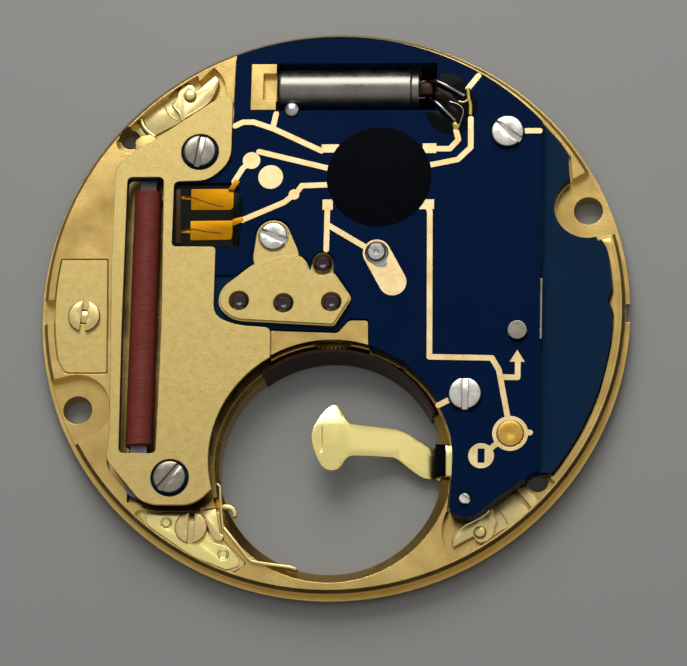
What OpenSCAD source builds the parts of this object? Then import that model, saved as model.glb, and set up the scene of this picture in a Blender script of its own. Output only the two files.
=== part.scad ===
/* [Main plate] */
// Diameter of the case-fitting wall of the main plate
body_d = 25.6; // [25:0.1:26.6]
// How far the flange stands out of the wall, on the radius
flange_out = 0.2; // [0.1:0.05:0.4]
// Height of the flange's lower edge over the dial side
flange_z = 0.35; // [0.25:0.05:0.5]
// Thickness of the flange
flange_t = 0.25; // [0.15:0.05:0.35]
// Height of the rim over the dial side
rim_z = 1.35; // [1.3:0.05:1.45]
// Bevel on the rim's outer edge
rim_bevel = 0.15; // [0.05:0.05:0.25]
// Height of the floor that the electronic module stands on
floor_z = 0.95; // [0.92:0.01:0.98]
// Height of the floor under the minute train
train_floor_z = 0.58; // [0.56:0.01:0.6]
// Depth of the dial-side recess for the motion work
dial_recess = 0.36; // [0.34:0.01:0.38]

/* [Battery well] */
// Diameter of the button cell that the well takes
cell_d = 9.5; // [9.3:0.1:9.6]
// Gap between the cell and the well's wall, on the radius
cell_gap = 0.15; // [0.1:0.05:0.25]
// Width of the bevel round the well's mouth
well_bevel = 0.45; // [0.3:0.05:0.55]
// Height of the brown insulating wall
insulator_h = 1.7; // [1.4:0.05:1.75]
// Thickness of the contact strap
strap_t = 0.12; // [0.1:0.01:0.16]
// Height of the strap's sprung head
strap_rise = 1.7; // [1.3:0.05:1.8]

/* [Module] */
// Height of the circuit board's upper face
board_top = 2.15; // [2.12:0.01:2.2]
// Thickness of the circuit board
board_t = 0.12; // [0.1:0.01:0.16]
// Thickness of the gilt conductor tracks
track_t = 0.03; // [0.02:0.01:0.05]
// Width of a conductor track
track_w = 0.25; // [0.15:0.05:0.3]
// Diameter of the black cap over the circuit
cap_d = 4.6; // [4.2:0.1:4.8]
// Rise of the cap over the board
cap_rise = 0.3; // [0.2:0.05:0.35]
// Diameter of the quartz crystal's can
can_d = 1.9; // [1.7:0.05:2]
// Length of the crystal's can
can_l = 6.3; // [6:0.1:6.5]
// Height of the crystal's axis
can_z = 1.5; // [1.45:0.05:1.55]

/* [Coil] */
// Thickness of the gilt coil plate
coil_plate_t = 0.15; // [0.1:0.05:0.2]
// Width of the slot that shows the coil
coil_slot_w = 1.62; // [1.5:0.02:1.7]
// Outside diameter of the winding
coil_d = 1.15; // [1:0.05:1.25]
// Length of the winding
coil_l = 11.7; // [11:0.1:11.9]
// Width of the coil's core
core_w = 0.72; // [0.6:0.02:0.8]
// Thickness of the coil's core
core_t = 0.3; // [0.25:0.05:0.35]
// Thickness of the stator
stator_t = 0.35; // [0.3:0.05:0.4]

/* [Train] */
// Thickness of the train's wheels
wheel_t = 0.08; // [0.06:0.01:0.09]
// Diameter of the pivots
pivot_d = 0.12; // [0.1:0.01:0.14]
// Running clearance of pivots and bores, on the radius
run_gap = 0.02; // [0.015:0.005:0.03]
// Diameter of the bridge's jewels
jewel_d = 0.62; // [0.56:0.02:0.64]
// Diameter of the rotor's magnet
magnet_d = 1.1; // [1:0.05:1.15]
// Height of the train bridge's upper face
bridge_top = 2.4; // [2.35:0.01:2.45]
// Bevel on the train bridge's edge
bridge_bevel = 0.08; // [0.05:0.01:0.1]

/* [Motion work] */
// Radius of the hour wheel's pipe
hour_pipe_r = 0.75; // [0.72:0.01:0.78]
// Radius of the cannon pinion's pipe
cannon_r = 0.38; // [0.36:0.01:0.4]
// Thickness of the cover over the motion work
motion_cover_t = 0.08; // [0.07:0.01:0.09]

/* [Keyless work] */
// Diameter of the stem's bore
stem_d = 0.9; // [0.8:0.05:0.95]
// Height of the stem's axis over the dial side
stem_z = 0.8; // [0.78:0.01:0.82]
// Diameter of the sliding pinion
sliding_d = 1.16; // [1.14:0.01:1.18]
// Travel of the sliding pinion
sliding_travel = 0.5; // [0.45:0.01:0.52]
// Diameter of the setting lever's post
post_d = 0.84; // [0.8:0.02:0.88]

/* [Fastening] */
// Diameter of the steel screws' heads
screw_head_d = 1.42; // [1.36:0.02:1.46]
// Height of the screw heads' upper face
screw_top = 2.5; // [2.47:0.01:2.53]
// Width of a screw's slot
screw_slot_w = 0.22; // [0.18:0.02:0.28]
// Diameter of the case-screw holes
case_hole_d = 1.27; // [1.2:0.01:1.3]
// Diameter of the dial-foot holes
foot_hole_d = 0.9; // [0.8:0.05:1]
// Thickness of the dial fasteners
fastener_t = 0.22; // [0.18:0.02:0.24]
// Thickness of the gilt cover plates
cover_t = 0.2; // [0.16:0.02:0.24]

/* [Hidden] */
$fn = 48;

// Counts of teeth: rotor to seconds 30 to 1, seconds to centre 60 to 1, centre to hour 12 to 1
rotor_leaves = 8;
intermediate_teeth = 48;
intermediate_leaves = 12;
seconds_teeth = 60;
train_leaves = 8;
third_teeth = 60;
centre_teeth = 64;
cannon_leaves = 10;
minute_teeth = 30;
minute_leaves = 8;
hour_teeth = 32;
setting_teeth = 20;
motion_module = 0.1;

// Places in plan, x to the stem and y away from the battery
body_r = body_d / 2;
well = [0.05, -7.0];
well_r = cell_d / 2 + cell_gap;
well_mouth_r = well_r + well_bevel;
rotor_at = [-4.06, 0.06];
intermediate_at = [-2.1, -0.05];
third_at = [-0.43, 1.78];
minute_bearing = 34.9;
minute_at = motion_module * (cannon_leaves + minute_teeth) / 2
    * [cos(minute_bearing), sin(minute_bearing)];
bridge_screw_at = [-2.64, 3.03];
coil_at = [-8.34, -0.5];
coil_screw_at = [[-6.01, 6.95], [-6.84, -7.93]];
module_screw_at = [[7.59, 7.86], beside_well(1.18, 26.17)];
pin_at = beside_well(0.838, -16.92);
post_at = [8.14, -1.25];
yoke_at = [7.0, 2.4];
case_hole_at = [[-11.2, -4.51], [11.13, 4.63]];
foot_hole_at = [[-9.32, 8.01], [9.05, -7.7]];
fastener_pin_at = [[-6.68, 9.96], [6.6, -10.04]];
side_screw_at = [-11.0, -0.38];
clamp_screw_at = [-5.93, -9.96];
rivets_at = [[-7.03, -9.72], [-4.5, -11.11]];
cap_at = [1.95, 5.81];
can_at = [-2.68, 10.02];
seat_x = -3.84;
post_pad_at = [1.92, 2.3];
rivet_at = [7.89, -5.88];
rivet_d = 1.2;
groove_x = 9.1;
strap_wall_x = well.x + well_r - 0.07 - strap_t;
strap_root_x = strap_wall_x + 1.66;
strap_y = [-7.5, -6.15];
shelf_y = well.y + well_mouth_r + 0.43;
motion_screw_at = [[-1.9, 1.9], [3.0, 2.6]];

// Heights that follow
board_z = board_top - board_t;
coil_z = floor_z + stator_t + core_t / 2;
shelf_z = 1.75;
shelf_t = 0.3;
pocket_z = floor_z - 0.1;
clamp_z = rim_z - 0.25;
contact_t = 0.1;
clip_t = 0.1;
fastener_z = pocket_z + clip_t + 0.02;
fastener_pin_d = 0.48;
fit = 0.05;
hair = 0.01;

// Point at a gap and an angle from the well's mouth
function beside_well(gap, a) = well + (well_mouth_r + gap) * [cos(a), sin(a)];
function dist(a, b) = norm([a.x - b.x, a.y - b.y]);
function unit(v) = v / norm(v);
function lerp(a, b, s) = a * (1 - s) + b * s;

// Corner b of an outline, rounded over the length that its third number gives
function bend(a, b, c) = len(b) < 3 || b[2] == 0 ? [[b.x, b.y]] :
    let (q = [b.x, b.y], s = min(b[2], 0.48 * dist(a, b), 0.48 * dist(b, c)),
        p = q + unit([a.x, a.y] - q) * s, r = q + unit([c.x, c.y] - q) * s)
    [for (k = [0:4]) let (s = k / 4) lerp(lerp(p, q, s), lerp(q, r, s), s)];
function rounded(p) = let (n = len(p))
    [for (i = [0:n - 1]) each bend(p[(i + n - 1) % n], p[i], p[(i + 1) % n])];

module outline(p) {
    polygon(rounded(p));
}

module slab(z0, z1) {
    translate([0, 0, z0]) linear_extrude(z1 - z0) children();
}

module at(p, z = 0) {
    translate([p.x, p.y, z]) children();
}

module rod(p, r, z0, z1) {
    at(p, z0) cylinder(r = r, h = z1 - z0);
}

// A straight bar with round ends, in plan
module bar(a, b, w) {
    d = b - a;
    for (p = [a, b]) translate(p) circle(d = w);
    translate(a) rotate(atan2(d.y, d.x)) translate([0, -w / 2]) square([norm(d), w]);
}

module path(points, w) {
    for (i = [0:len(points) - 2]) bar(points[i], points[i + 1], w);
}

// Screw with a slotted head, its neck and its shank
module screw(p, head_d, head_z0, head_z1, shank_d, shank_z0, turn) {
    slot_depth = (head_z1 - head_z0) * 0.55;
    at(p) difference() {
        union() {
            translate([0, 0, head_z0]) cylinder(d = head_d, h = head_z1 - head_z0 - 0.04);
            translate([0, 0, head_z1 - 0.04]) cylinder(d1 = head_d, d2 = head_d - 0.08, h = 0.04);
            translate([0, 0, shank_z0]) cylinder(d = shank_d, h = head_z0 - shank_z0 + hair);
        }
        rotate(turn) translate([-head_d, -screw_slot_w / 2, head_z1 - slot_depth])
            cube([2 * head_d, screw_slot_w, slot_depth + 1]);
    }
}

// Train geometry: each module follows from two centres and two counts of teeth
m_rotor = 2 * dist(rotor_at, intermediate_at) / (rotor_leaves + intermediate_teeth);
m_seconds = 2 * norm(intermediate_at) / (intermediate_leaves + seconds_teeth);
m_third = 2 * norm(third_at) / (train_leaves + third_teeth);
m_centre = 2 * norm(third_at) / (train_leaves + centre_teeth);
setting_at = [minute_at.x + sqrt(pow(motion_module * (minute_teeth + setting_teeth) / 2, 2)
    - pow(minute_at.y, 2)), 0];

minute_z = train_floor_z + 0.06;
third_pinion_z = train_floor_z + 0.03;
third_z = minute_z + wheel_t + 0.16;
seconds_z = third_z + wheel_t + 0.18;
intermediate_z = seconds_z + wheel_t + 0.26;
bridge_z = 2.05;
arbor_d = 0.24;

// Keyless work: the pinion's inner face stands off the setting wheel by its travel
clutch_bite = 0.1;
sliding_l = 1.4;
sliding_x = setting_at.x + motion_module * (setting_teeth / 2 + 0.95) + sliding_travel
    - clutch_bite;
groove_w = 0.36;
groove_at = [sliding_x + sliding_l - 0.25 - groove_w / 2, 0];
lever_z = 1.42;
lever_t = 0.15;
lever_pin_at = [9.0, -0.12];
pivot_top = bridge_z + 0.2;

// Angle from a to b in plan
function bearing(a, b) = atan2(b.y - a.y, b.x - a.x);

module teeth(n, m, first = 0) {
    r = n * m / 2;
    p = 360 / n;
    polygon([for (i = [0:n - 1], s = [[-0.36, -1.3], [-0.25, 0], [-0.09, 0.95], [0.09, 0.95],
        [0.25, 0], [0.36, -1.3]])
        let (a = first + (i + s[0]) * p, q = r + s[1] * m) [q * cos(a), q * sin(a)]]);
}

// A wheel's rim, hub and arms
module crossed_wheel(n, m, first, z, t, hub_d, arms, bore_d = 0) {
    r = n * m / 2;
    rim = 3.2 * m;
    slab(z, z + t) difference() {
        teeth(n, m, first);
        difference() {
            circle(r = r - rim);
            circle(d = hub_d);
            for (i = [0:arms - 1]) rotate(first + 360 / arms * (i + 0.5))
                translate([0, -0.09]) square([r, 0.18]);
        }
        if (bore_d > 0) circle(d = bore_d);
    }
}

module arbor(z0, z1, pivot_low, pivot_high) {
    translate([0, 0, z0]) cylinder(d = arbor_d, h = z1 - z0);
    translate([0, 0, pivot_low]) cylinder(d = pivot_d, h = pivot_high - pivot_low);
}

module leaves(n, m, first, z0, z1) {
    slab(z0, z1) teeth(n, m, first);
}

// Outlines in plan
module well_disc(r) {
    translate(well) circle(r = r);
}

module coil_plate_outline() {
    difference() {
        outline([[-4.63, 9.35, 0.2], [-5.02, 9.64, 0.15], [-8.17, 7.46], [-8.85, 7.07, 0.3],
            [-9.74, 6.25, 0.5], [-9.75, 2.0], [-9.55, -5.85], [-9.66, -7.1, 0.3], [-8.1, -8.95, 0.3],
            [-7.5, -9.13, 0.2], [-6, -9.13, 0.3], [-5.5, -8.9, 0.25], [-3.5, -7], [-2.62, -4],
            [-2.65, -1.15, 0.25], [-4.2, -1.03, 0.5], [-5.18, -0.6, 0.6],
            [-5.18, 2.56, 0.2], [-7.12, 2.57, 0.2], [-7.12, 5.58, 0.25], [-5.6, 5.62, 0.5],
            [-4.62, 6.5, 0.6]]);
        well_disc(well_mouth_r - 0.1);
    }
}

module coil_slot() {
    outline([[-9.2, 5.79, 0.25], [-9.2, -0.98], [-9.12, -6.84, 0.25], [-7.5, -6.84, 0.25],
        [-7.44, -0.98], [-9.2 + coil_slot_w, 5.79, 0.25]]);
}

// The whole blue module: a disc inside the rim, cut back at the fasteners and case holes
module module_outline() {
    difference() {
        intersection() {
            circle(r = body_r - 0.42);
            outline([[-4.5, 13], [13, 13], [13, -7.5], [9.01, -7.5, 0.3], [7.2, -8.85, 0.5],
                [6.3, -9.66, 0.5], [5.28, -9.4, 0.3], [5.39, -7.5], [5.21, -5.8], [3.2, -2.6],
                [1.69, -2.1], [-3.2, -2.1], [-4.9, -4.2], [-5.2, -5.6], [-5.3, 2.5],
                [-7.2, 2.5], [-7.2, 5.7], [-4.62, 6.5]]);
        }
        well_disc(well_mouth_r);
        translate(case_hole_at[1]) circle(r = 1.5);
        outline([[10.2, 7.1, 0.3], [10.4, 5.2, 0.8], [11.6, 3.0], [13, 3.2], [13, 9], [11.2, 6.7]]);
    }
}

module board_outline() {
    difference() {
        intersection() {
            module_outline();
            translate([-8, -14]) square([8 + groove_x, 28]);
        }
        crystal_opening(0);
        bridge_window(0.12);
        tab_outline(fit);
        for (p = module_screw_at) translate(p) circle(d = screw_head_d + 0.1);
        translate(post_at) circle(d = post_d + 0.12);
        translate(pin_at) circle(d = 0.6);
        translate(rivet_at) circle(d = rivet_d);
        terminal_window(fit);
        // the coil plate's lobe by the well covers the carrier alone
        translate([-8, -7]) square([5.5, 6.2]);
        translate([-8, -7]) square([3.7, 8.3]);
    }
}

module crystal_opening(grow) {
    half = can_d / 2 + 0.15 + grow;
    translate([seat_x - 0.02 - grow, can_at.y - half])
        square([can_at.x + can_l + 0.82 - seat_x + 2 * grow, 2 * half]);
}

module terminal_window(grow) {
    outline([[-7.12 - grow, 5.5 + grow], [-4.3 + grow, 5.5 + grow, 0.3],
        [-4.2 + grow, 2.62 - grow, 0.2], [-7.12 - grow, 2.62 - grow]]);
}

// The gilt shelf of the main plate between the train and the battery
module tab_outline(grow = 0) {
    difference() {
        outline([[-2.66 - grow, shelf_y + grow, 0.1], [0.28, shelf_y - 0.1 + grow, 0.1],
            [0.75, shelf_y + 0.47 + grow, 0.15], [1.6 + grow, shelf_y + 0.47 + grow, 0.15],
            [1.66 + grow, shelf_y - 1.38], [-2.68 - grow, shelf_y - 1.68]]);
        well_disc(well_mouth_r - 0.22);
    }
}

module bridge_outline() {
    outline([[-3.42, 1.81, 0.5], [-2.3, 2.18, 0.4], [-1.4, 2.12, 0.3], [-1.14, 1.85, 0.15],
        [-1.0, 1.45, 0.2], [-0.5, 1.22, 0.25], [0.08, 1.36, 0.15], [0.9, 0.18, 0.2],
        [0.14, -1.09, 0.15], [-4.3, -0.84, 0.5], [-5.0, -0.2, 0.5], [-4.9, 0.6, 0.5]]);
}

module bridge_ear() {
    hull() {
        translate(bridge_screw_at) circle(d = 1.5);
        translate([-2.5, 2.1]) circle(d = 2.0);
    }
    hull() {
        translate(third_at) circle(d = 0.9);
        translate([-0.5, 1.1]) circle(d = 1.1);
    }
}

module bridge_window(grow) {
    offset(delta = grow) union() {
        bridge_outline();
        bridge_ear();
    }
}

// Space that the wheels need, in plan
module train_space() {
    translate(intermediate_at) circle(r = m_rotor * intermediate_teeth / 2 + 0.2);
    translate(third_at) circle(r = m_third * third_teeth / 2 + 0.2);
    circle(r = m_seconds * seconds_teeth / 2 + 0.17);
    translate(rotor_at) circle(r = 1.45);
}

// Room for the sliding pinion and the two levers over their travel
module keyless_space() {
    translate([sliding_x - sliding_travel - 0.1, -0.75])
        square([9.95 - sliding_x + sliding_travel, 1.5]);
    outline([[5.3, 0], [5.3, 3.15, 0.3], [7.8, 3.15, 0.3], [7.8, 0], [9.85, 0],
        [9.85, -2.15, 0.3], [7.3, -2.15, 0.3], [7.3, 0]]);
}

module stator_outline() {
    difference() {
        union() {
            path([coil_screw_at[0], [-5.6, 4.2], [-4.6, 1.6], rotor_at], 1.3);
            path([rotor_at, [-5.4, -2.2], [-6.5, -4.5], coil_screw_at[1]], 1.2);
            translate(rotor_at) circle(r = 1.25);
        }
        translate(rotor_at) circle(d = magnet_d + 0.4);
        for (s = [-1, 1]) translate(rotor_at + s * [1.28, 0.1]) circle(d = 0.6);
        for (p = coil_screw_at) translate(p) circle(d = 0.62);
        well_disc(well_mouth_r + 0.1);
        translate(intermediate_at) circle(r = 0.55);
    }
}

module core_outline() {
    difference() {
        union() {
            bar([coil_at.x, 7.2], [coil_at.x, -8.1], core_w);
            bar([coil_at.x, 7.2], coil_screw_at[0], 1.1);
            bar([coil_at.x, -8.1], coil_screw_at[1], 1.1);
            for (p = coil_screw_at) translate(p) circle(d = 1.3);
        }
        for (p = coil_screw_at) translate(p) circle(d = 0.62);
    }
}

// Space round coil, core and stator under the coil plate
module coil_space(grow) {
    translate([coil_at.x - coil_d / 2 - grow, coil_at.y - coil_l / 2 - grow])
        square([coil_d + 2 * grow, coil_l + 2 * grow]);
    translate([coil_at.x, 0]) translate([-core_w / 2 - grow, -8.8])
        square([core_w + 2 * grow, 16.6]);
}

// One dial fastener in plan, about its pin: a beak to turn it by and a hook
module fastener_outline() {
    difference() {
        outline([[1.15, 0.9, 0.06], [1.25, 0.6, 0.1], [0.7, -0.42, 0.3], [0.1, -0.9, 0.3],
            [-0.35, -1.2, 0.06], [-0.5, -0.8, 0.2], [-0.8, -0.4, 0.05], [-0.5, -0.1, 0.1],
            [-0.42, 0.4, 0.25], [0.1, 0.5, 0.2], [0.36, 0.42, 0.05], [0.42, 0.25, 0.05]]);
        circle(r = fastener_pin_d / 2 + run_gap);
    }
}

// Spring sheet under the fastener, from its pin to the dial foot's hole
module clip_outline(grow = 0) {
    outline([[0.3 + grow, 0.3 + grow, 0.2], [0.5 + grow, -0.6, 0.2], [-0.35, -1.25 - grow],
        [-1.72 + grow, -2.02 - grow], [-2.27 - grow, -1.18 + grow], [-0.9, 0.08 + grow, 0.2]]);
}

module fastener_pocket() {
    outline([[1.05, 1.3, 0.1], [1.5, 0.8, 0.3], [1.7, -0.1, 0.4], [1.45, -0.95, 0.3],
        [0.6, -1.6], [-1.2, -2.3], [-2.0, -2.95, 0.3], [-3.2, -2.6, 0.4], [-3.25, -1.7, 0.4],
        [-2.25, -0.75], [-1.1, 0.2], [-0.7, 0.2], [-0.6, 0.9], [0.35, 0.9, 0.1], [0.4, 0.6, 0.1]]);
}

// Main plate: brass disc with its flange, floors, well, bores and pockets
module main_plate() {
    color("goldenrod") difference() {
        union() {
            difference() {
                union() {
                    cylinder(d = body_d, h = rim_z - rim_bevel);
                    translate([0, 0, rim_z - rim_bevel])
                        cylinder(d1 = body_d, d2 = body_d - 2 * rim_bevel, h = rim_bevel);
                    translate([0, 0, flange_z]) cylinder(r = body_r + flange_out, h = flange_t);
                }
                slab(floor_z, rim_z + 1) union() {
                    offset(delta = 0.12) module_outline();
                    offset(delta = 0.12) coil_plate_outline();
                }
                slab(floor_z - 0.1, rim_z + 1) coil_space(0.1);
                for (i = [0, 1]) slab(pocket_z, rim_z + 1) intersection() {
                    translate(fastener_pin_at[i]) rotate(180 * i) fastener_pocket();
                    circle(r = body_r - 0.22);
                }
                for (p = case_hole_at) slab(pocket_z, rim_z + 1) hull() {
                    translate(p) circle(r = 1.48);
                    translate(unit(p) * (body_r + 1)) circle(r = 1.7);
                }
                slab(rim_z - cover_t, rim_z + 1) side_cover_outline(0.06);
                slab(clamp_z, rim_z + 1) intersection() {
                    union() {
                        clamp_outline(0.06);
                        contact_outline(0.06);
                    }
                    circle(r = body_r - 0.2);
                }
                slab(floor_z, rim_z + 1) strap_root(0.05);
                slab(train_floor_z, floor_z + 1) {
                    circle(r = m_centre * centre_teeth / 2 + 0.13);
                    translate(third_at) circle(r = m_third * train_leaves / 2 + 0.15);
                }
                slab(third_z - 0.06, floor_z + 1)
                    translate(third_at) circle(r = m_third * third_teeth / 2 + 0.13);
            }
            // shelf over the wheels, and its foot along the well
            slab(floor_z - hair, shelf_z + shelf_t) difference() {
                tab_outline();
                well_disc(well_mouth_r + 0.03);
            }
            slab(floor_z - hair, rim_z) intersection() {
                tab_outline();
                well_disc(well_mouth_r + 0.15);
            }
            rod(bridge_screw_at, 0.5, floor_z - hair, bridge_z);
            for (p = coil_screw_at) rod(p, 0.7, floor_z - 0.1, floor_z);
            for (p = module_screw_at) rod(p, 0.6, floor_z - hair, board_z);
        }
        // room for the wheels under the shelf
        slab(train_floor_z, shelf_z) circle(r = m_seconds * seconds_teeth / 2 + 0.12);
        slab(intermediate_z - 0.1, shelf_z) translate(intermediate_at)
            circle(r = m_rotor * intermediate_teeth / 2 + 0.12);
        at(well) rotate_extrude() polygon([[0, -1], [well_r, -1], [well_r, rim_z - well_bevel],
            [well_mouth_r, rim_z], [well_mouth_r, 4], [0, 4]]);
        for (p = case_hole_at) rod(p, case_hole_d / 2, -1, 3);
        for (p = foot_hole_at) rod(p, foot_hole_d / 2, -1, 3);
        // dial side recess
        slab(-1, dial_recess) {
            circle(r = motion_module * hour_teeth / 2 + 0.22);
            translate(minute_at) circle(r = motion_module * minute_teeth / 2 + 0.2);
            translate(setting_at) circle(r = motion_module * setting_teeth / 2 + 0.2);
        }
        slab(-1, motion_cover_t) motion_cover_outline(fit);
        // crystal
        translate([can_at.x - 0.05, can_at.y - can_d / 2 - 0.1, can_z - can_d / 2 - 0.05])
            cube([can_l + 0.7, can_d + 0.2, 3]);
        rod([0, 0], cannon_r + run_gap, 0, 1);
        for (p = [rotor_at, intermediate_at]) {
            rod(p, 0.25, 0.6, 1);
            rod(p, 0.55, 0.8, floor_z + 1);
        }
        rod(third_at, 0.25, dial_recess + 0.02, floor_z);
        // keyless work
        translate([sliding_x - sliding_travel - 0.1, -0.7, 0.14])
            cube([9.4 - sliding_x + sliding_travel + 0.1, 1.4, 3]);
        translate([8, 0, stem_z]) rotate([0, 90, 0]) cylinder(d = stem_d, h = 6);
        rod(post_at, 0.25 + run_gap, 0.3, 3);
        rod(yoke_at, 0.25 + run_gap, 0.3, 3);
        // threads
        rod(bridge_screw_at, 0.22, 0.5, 3);
        for (p = coil_screw_at) rod(p, 0.28, 0.4, 3);
        for (p = module_screw_at) rod(p, 0.28, 0.6, 3);
        for (p = motion_screw_at) rod(p, 0.2, -1, 0.5);
        rod(side_screw_at, 0.28, 0.4, 3);
        rod(clamp_screw_at, 0.28, 0.4, 3);
        rod(pin_at, 0.14, 0.4, 3);
        for (p = fastener_pin_at) rod(p, fastener_pin_d / 2, 0.4, 3);
        // notches in the rim
        translate([body_r - 0.25, -0.41, flange_z - 0.01]) cube([1, 0.82, flange_t + 0.02]);
        outline_notch();
    }
}

module outline_notch() {
    slab(0.7, rim_z + 1) outline([[-14, 0.4], [-12.3, 0.4, 0.1], [-12.3, -0.55, 0.1], [-12.9, -0.8],
        [-14, -0.8]]);
}

module side_cover_outline(grow = 0) {
    intersection() {
        circle(r = body_r - 0.5 + grow);
        outline([[-14, 2.24 + grow], [-10.08 + grow, 2.24 + grow, 0.1],
            [-9.92 + grow, -2.93 - grow, 0.1], [-11.75 - grow, -2.93 - grow, 0.2],
            [-12.1 - grow, -2.3, 0.2], [-14, -2.0]]);
    }
}

module clamp_outline(grow = 0) {
    intersection() {
        circle(r = body_r - 0.27 + grow);
        offset(delta = grow) outline([[-7.86, -9.26, 0.1], [-6.37, -9.25], [-5.42, -9.28, 0.1],
            [-5.13, -10.06, 0.2], [-4.95, -10.5, 0.1], [-4.55, -10.66, 0.1], [-3.74, -11.58, 0.2],
            [-4.07, -12.0, 0.2], [-5.71, -11.45, 0.3], [-7.92, -9.85, 0.15]]);
    }
}

// Contact sheet under the clamp, with its nub over the well
module contact_outline(grow = 0) {
    intersection() {
        circle(r = body_r - 0.27 + grow);
        offset(delta = grow) union() {
            outline([[-8.3, -9.2, 0.1], [-4.81, -9.11, 0.05], [-4.7, -9.2, 0.05], [-4.55, -10.5],
                [-3.55, -11.5, 0.1], [-4.07, -11.95, 0.2], [-5.71, -11.4, 0.3], [-8.4, -9.4, 0.1]]);
            path([[-5.1, -9.4], [-4.45, -9.05], [-4.2, -9.15], [-4.1, -9.4]], 0.24);
        }
    }
}

// Blue moulded carrier of the electronic module
module module_carrier() {
    color("midnightblue") difference() {
        union() {
            slab(floor_z, board_z) module_outline();
            slab(board_z - hair, board_top - 0.03) difference() {
                module_outline();
                translate([-8, -14]) square([8 + groove_x, 28]);
            }
            slab(coil_z + core_t / 2 + 0.05, board_top) difference() {
                offset(delta = -0.25) coil_plate_outline();
                module_outline();
                translate([-5.4, -9]) square([4, 9]);
            }
        }
        slab(floor_z - 1, shelf_z) train_space();
        slab(shelf_z - 1, 4) bridge_window(-0.22);
        slab(bridge_z, 4) bridge_window(0.08);
        slab(floor_z - 1, 4) tab_outline(fit);
        slab(floor_z - 1, coil_z + core_t / 2 + 0.04) coil_space(0.12);
        slab(coil_z, 4) {
            translate([coil_at.x - coil_d / 2 - 0.08, coil_at.y - coil_l / 2 - 0.1])
                square([coil_d + 0.16, coil_l + 0.2]);
            coil_slot();
        }
        slab(floor_z - 1, floor_z + stator_t + core_t + 0.04) offset(delta = 0.1) {
            stator_outline();
            for (p = concat(coil_screw_at, [rotor_at])) translate(p) circle(r = 0.5);
        }
        slab(coil_z - core_t, coil_z + core_t / 2 + 0.02) offset(delta = 0.1) core_outline();
        slab(floor_z - 1, 1.66) keyless_space();
        slab(floor_z - 1, fastener_z + fastener_t + 0.08) translate(fastener_pin_at[1])
            rotate(180) fastener_pocket();
        slab(floor_z - 1, 4) crystal_opening(0.02);
        slab(board_z - board_t, 4) terminal_window(fit);
        for (p = module_screw_at) rod(p, 0.65, 0, 4);
        for (p = module_screw_at) rod(p, screw_head_d / 2 + 0.06, board_z, 4);
        for (p = coil_screw_at) rod(p, 0.36, 0, 4);
        rod(bridge_screw_at, 0.56, 0, 4);
        rod(post_at, post_d / 2 + 0.06, 0, 4);
        rod(pin_at, 0.18, 0, 4);
        rod(rivet_at, 0.3, 0, 4);
        translate([4, 0, stem_z]) rotate([0, 90, 0]) cylinder(d = stem_d + 0.4, h = 12);
        slab(floor_z - 1, floor_z + strap_t + 0.05) strap_root(0.06);
        slab(board_top - 0.35, 4) translate([groove_x - 0.05, -1.7]) square([0.2, 3.1]);
    }
}

module circuit_board() {
    color("navy") slab(board_z, board_top) board_outline();
}

// Gilt tracks and pads on the board
module circuit_tracks() {
    color("khaki") slab(board_top, board_top + track_t) difference() {
        union() {
            path([[-4.5, 8.2], [-4.16, 8.37], [-3.67, 8.37], [-2.79, 8.06], [-0.63, 7.02]], track_w);
            translate([-0.63, 6.94]) square([0.78, 0.38]);
            bar([-2.82, 8.1], [-2.69, 8.75], track_w);
            translate([-3.72, 6.58]) circle(r = 0.39);
            path([[-3.72, 6.58], [-4.1, 6.22], [-4.46, 5.6]], track_w);
            path([[-3.4, 6.99], [-0.31, 6.21], [-0.1, 6.18]], track_w);
            translate([-2.85, 5.81]) circle(r = 0.55);
            translate([-1.79, 5.0]) circle(r = 0.24);
            path([[-1.79, 5.0], [-2.21, 4.64], [-4.05, 3.82]], track_w);
            path([[-1.6, 5.2], [-1.46, 5.4], [-0.2, 5.45]], track_w);
            translate([-0.52, 4.28]) square([0.46, 0.48]);
            bar([-0.3, 4.5], [-0.3, 2.45], track_w);
            path([[-0.25, 3.58], [1.34, 2.61]], track_w);
            bar(post_pad_at, post_pad_at + [0.73, -1.34], 1.22);
            translate([3.85, 6.9]) square([0.6, 0.45]);
            path([[4.4, 7.1], [5.05, 7.1], [5.42, 7.52], [5.31, 7.95]], track_w);
            path([[4.2, 6.35], [5.41, 6.6], [5.97, 7.16], [5.95, 8.5]], track_w);
            bar([5.8, 9.9], [6.26, 10.5], track_w);
            translate([3.75, 4.3]) square([0.65, 0.46]);
            path([[4.09, 4.52], [4.22, 4.2], [4.33, -2.44], [7.05, -2.49], [7.36, -3.02],
                [7.8, -5.3]], track_w);
            translate(rivet_at) circle(r = 0.78);
            bar(rivet_at, [8.75, -5.84], track_w);
            bar(rivet_at, [6.65, -6.88], track_w);
            translate([6.65, -6.88]) circle(r = 0.56);
            path([[7.55, -3.36], [8.18, -3.36], [8.18, -2.6]], track_w);
            polygon([[7.82, -2.66], [8.48, -2.66], [8.15, -2.12]]);
            bar([8.4, 7.92], [9.0, 7.92], track_w);
            bar([5.28, -4.35], [4.76, -4.62], track_w);
        }
        translate(rivet_at) circle(d = rivet_d);
        translate([6.5, -7.2]) square([0.3, 0.64]);
        translate(cap_at) circle(d = cap_d + 0.04);
        for (p = module_screw_at) translate(p) circle(d = screw_head_d + 0.1);
        translate(post_pad_at) circle(r = 0.4);
    }
}

module circuit_cap() {
    ball = (pow(cap_d / 2, 2) + pow(cap_rise, 2)) / (2 * cap_rise);
    half = asin(cap_d / 2 / ball);
    steps = 16;
    color("black") at(cap_at, board_top) rotate_extrude() polygon(concat([[0, 0]],
        [for (k = [0:steps]) let (a = half * (1 - k / steps))
            [k == steps ? 0 : ball * sin(a), k == 0 ? 0 : ball * cos(a) - ball + cap_rise]]));
}

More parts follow.
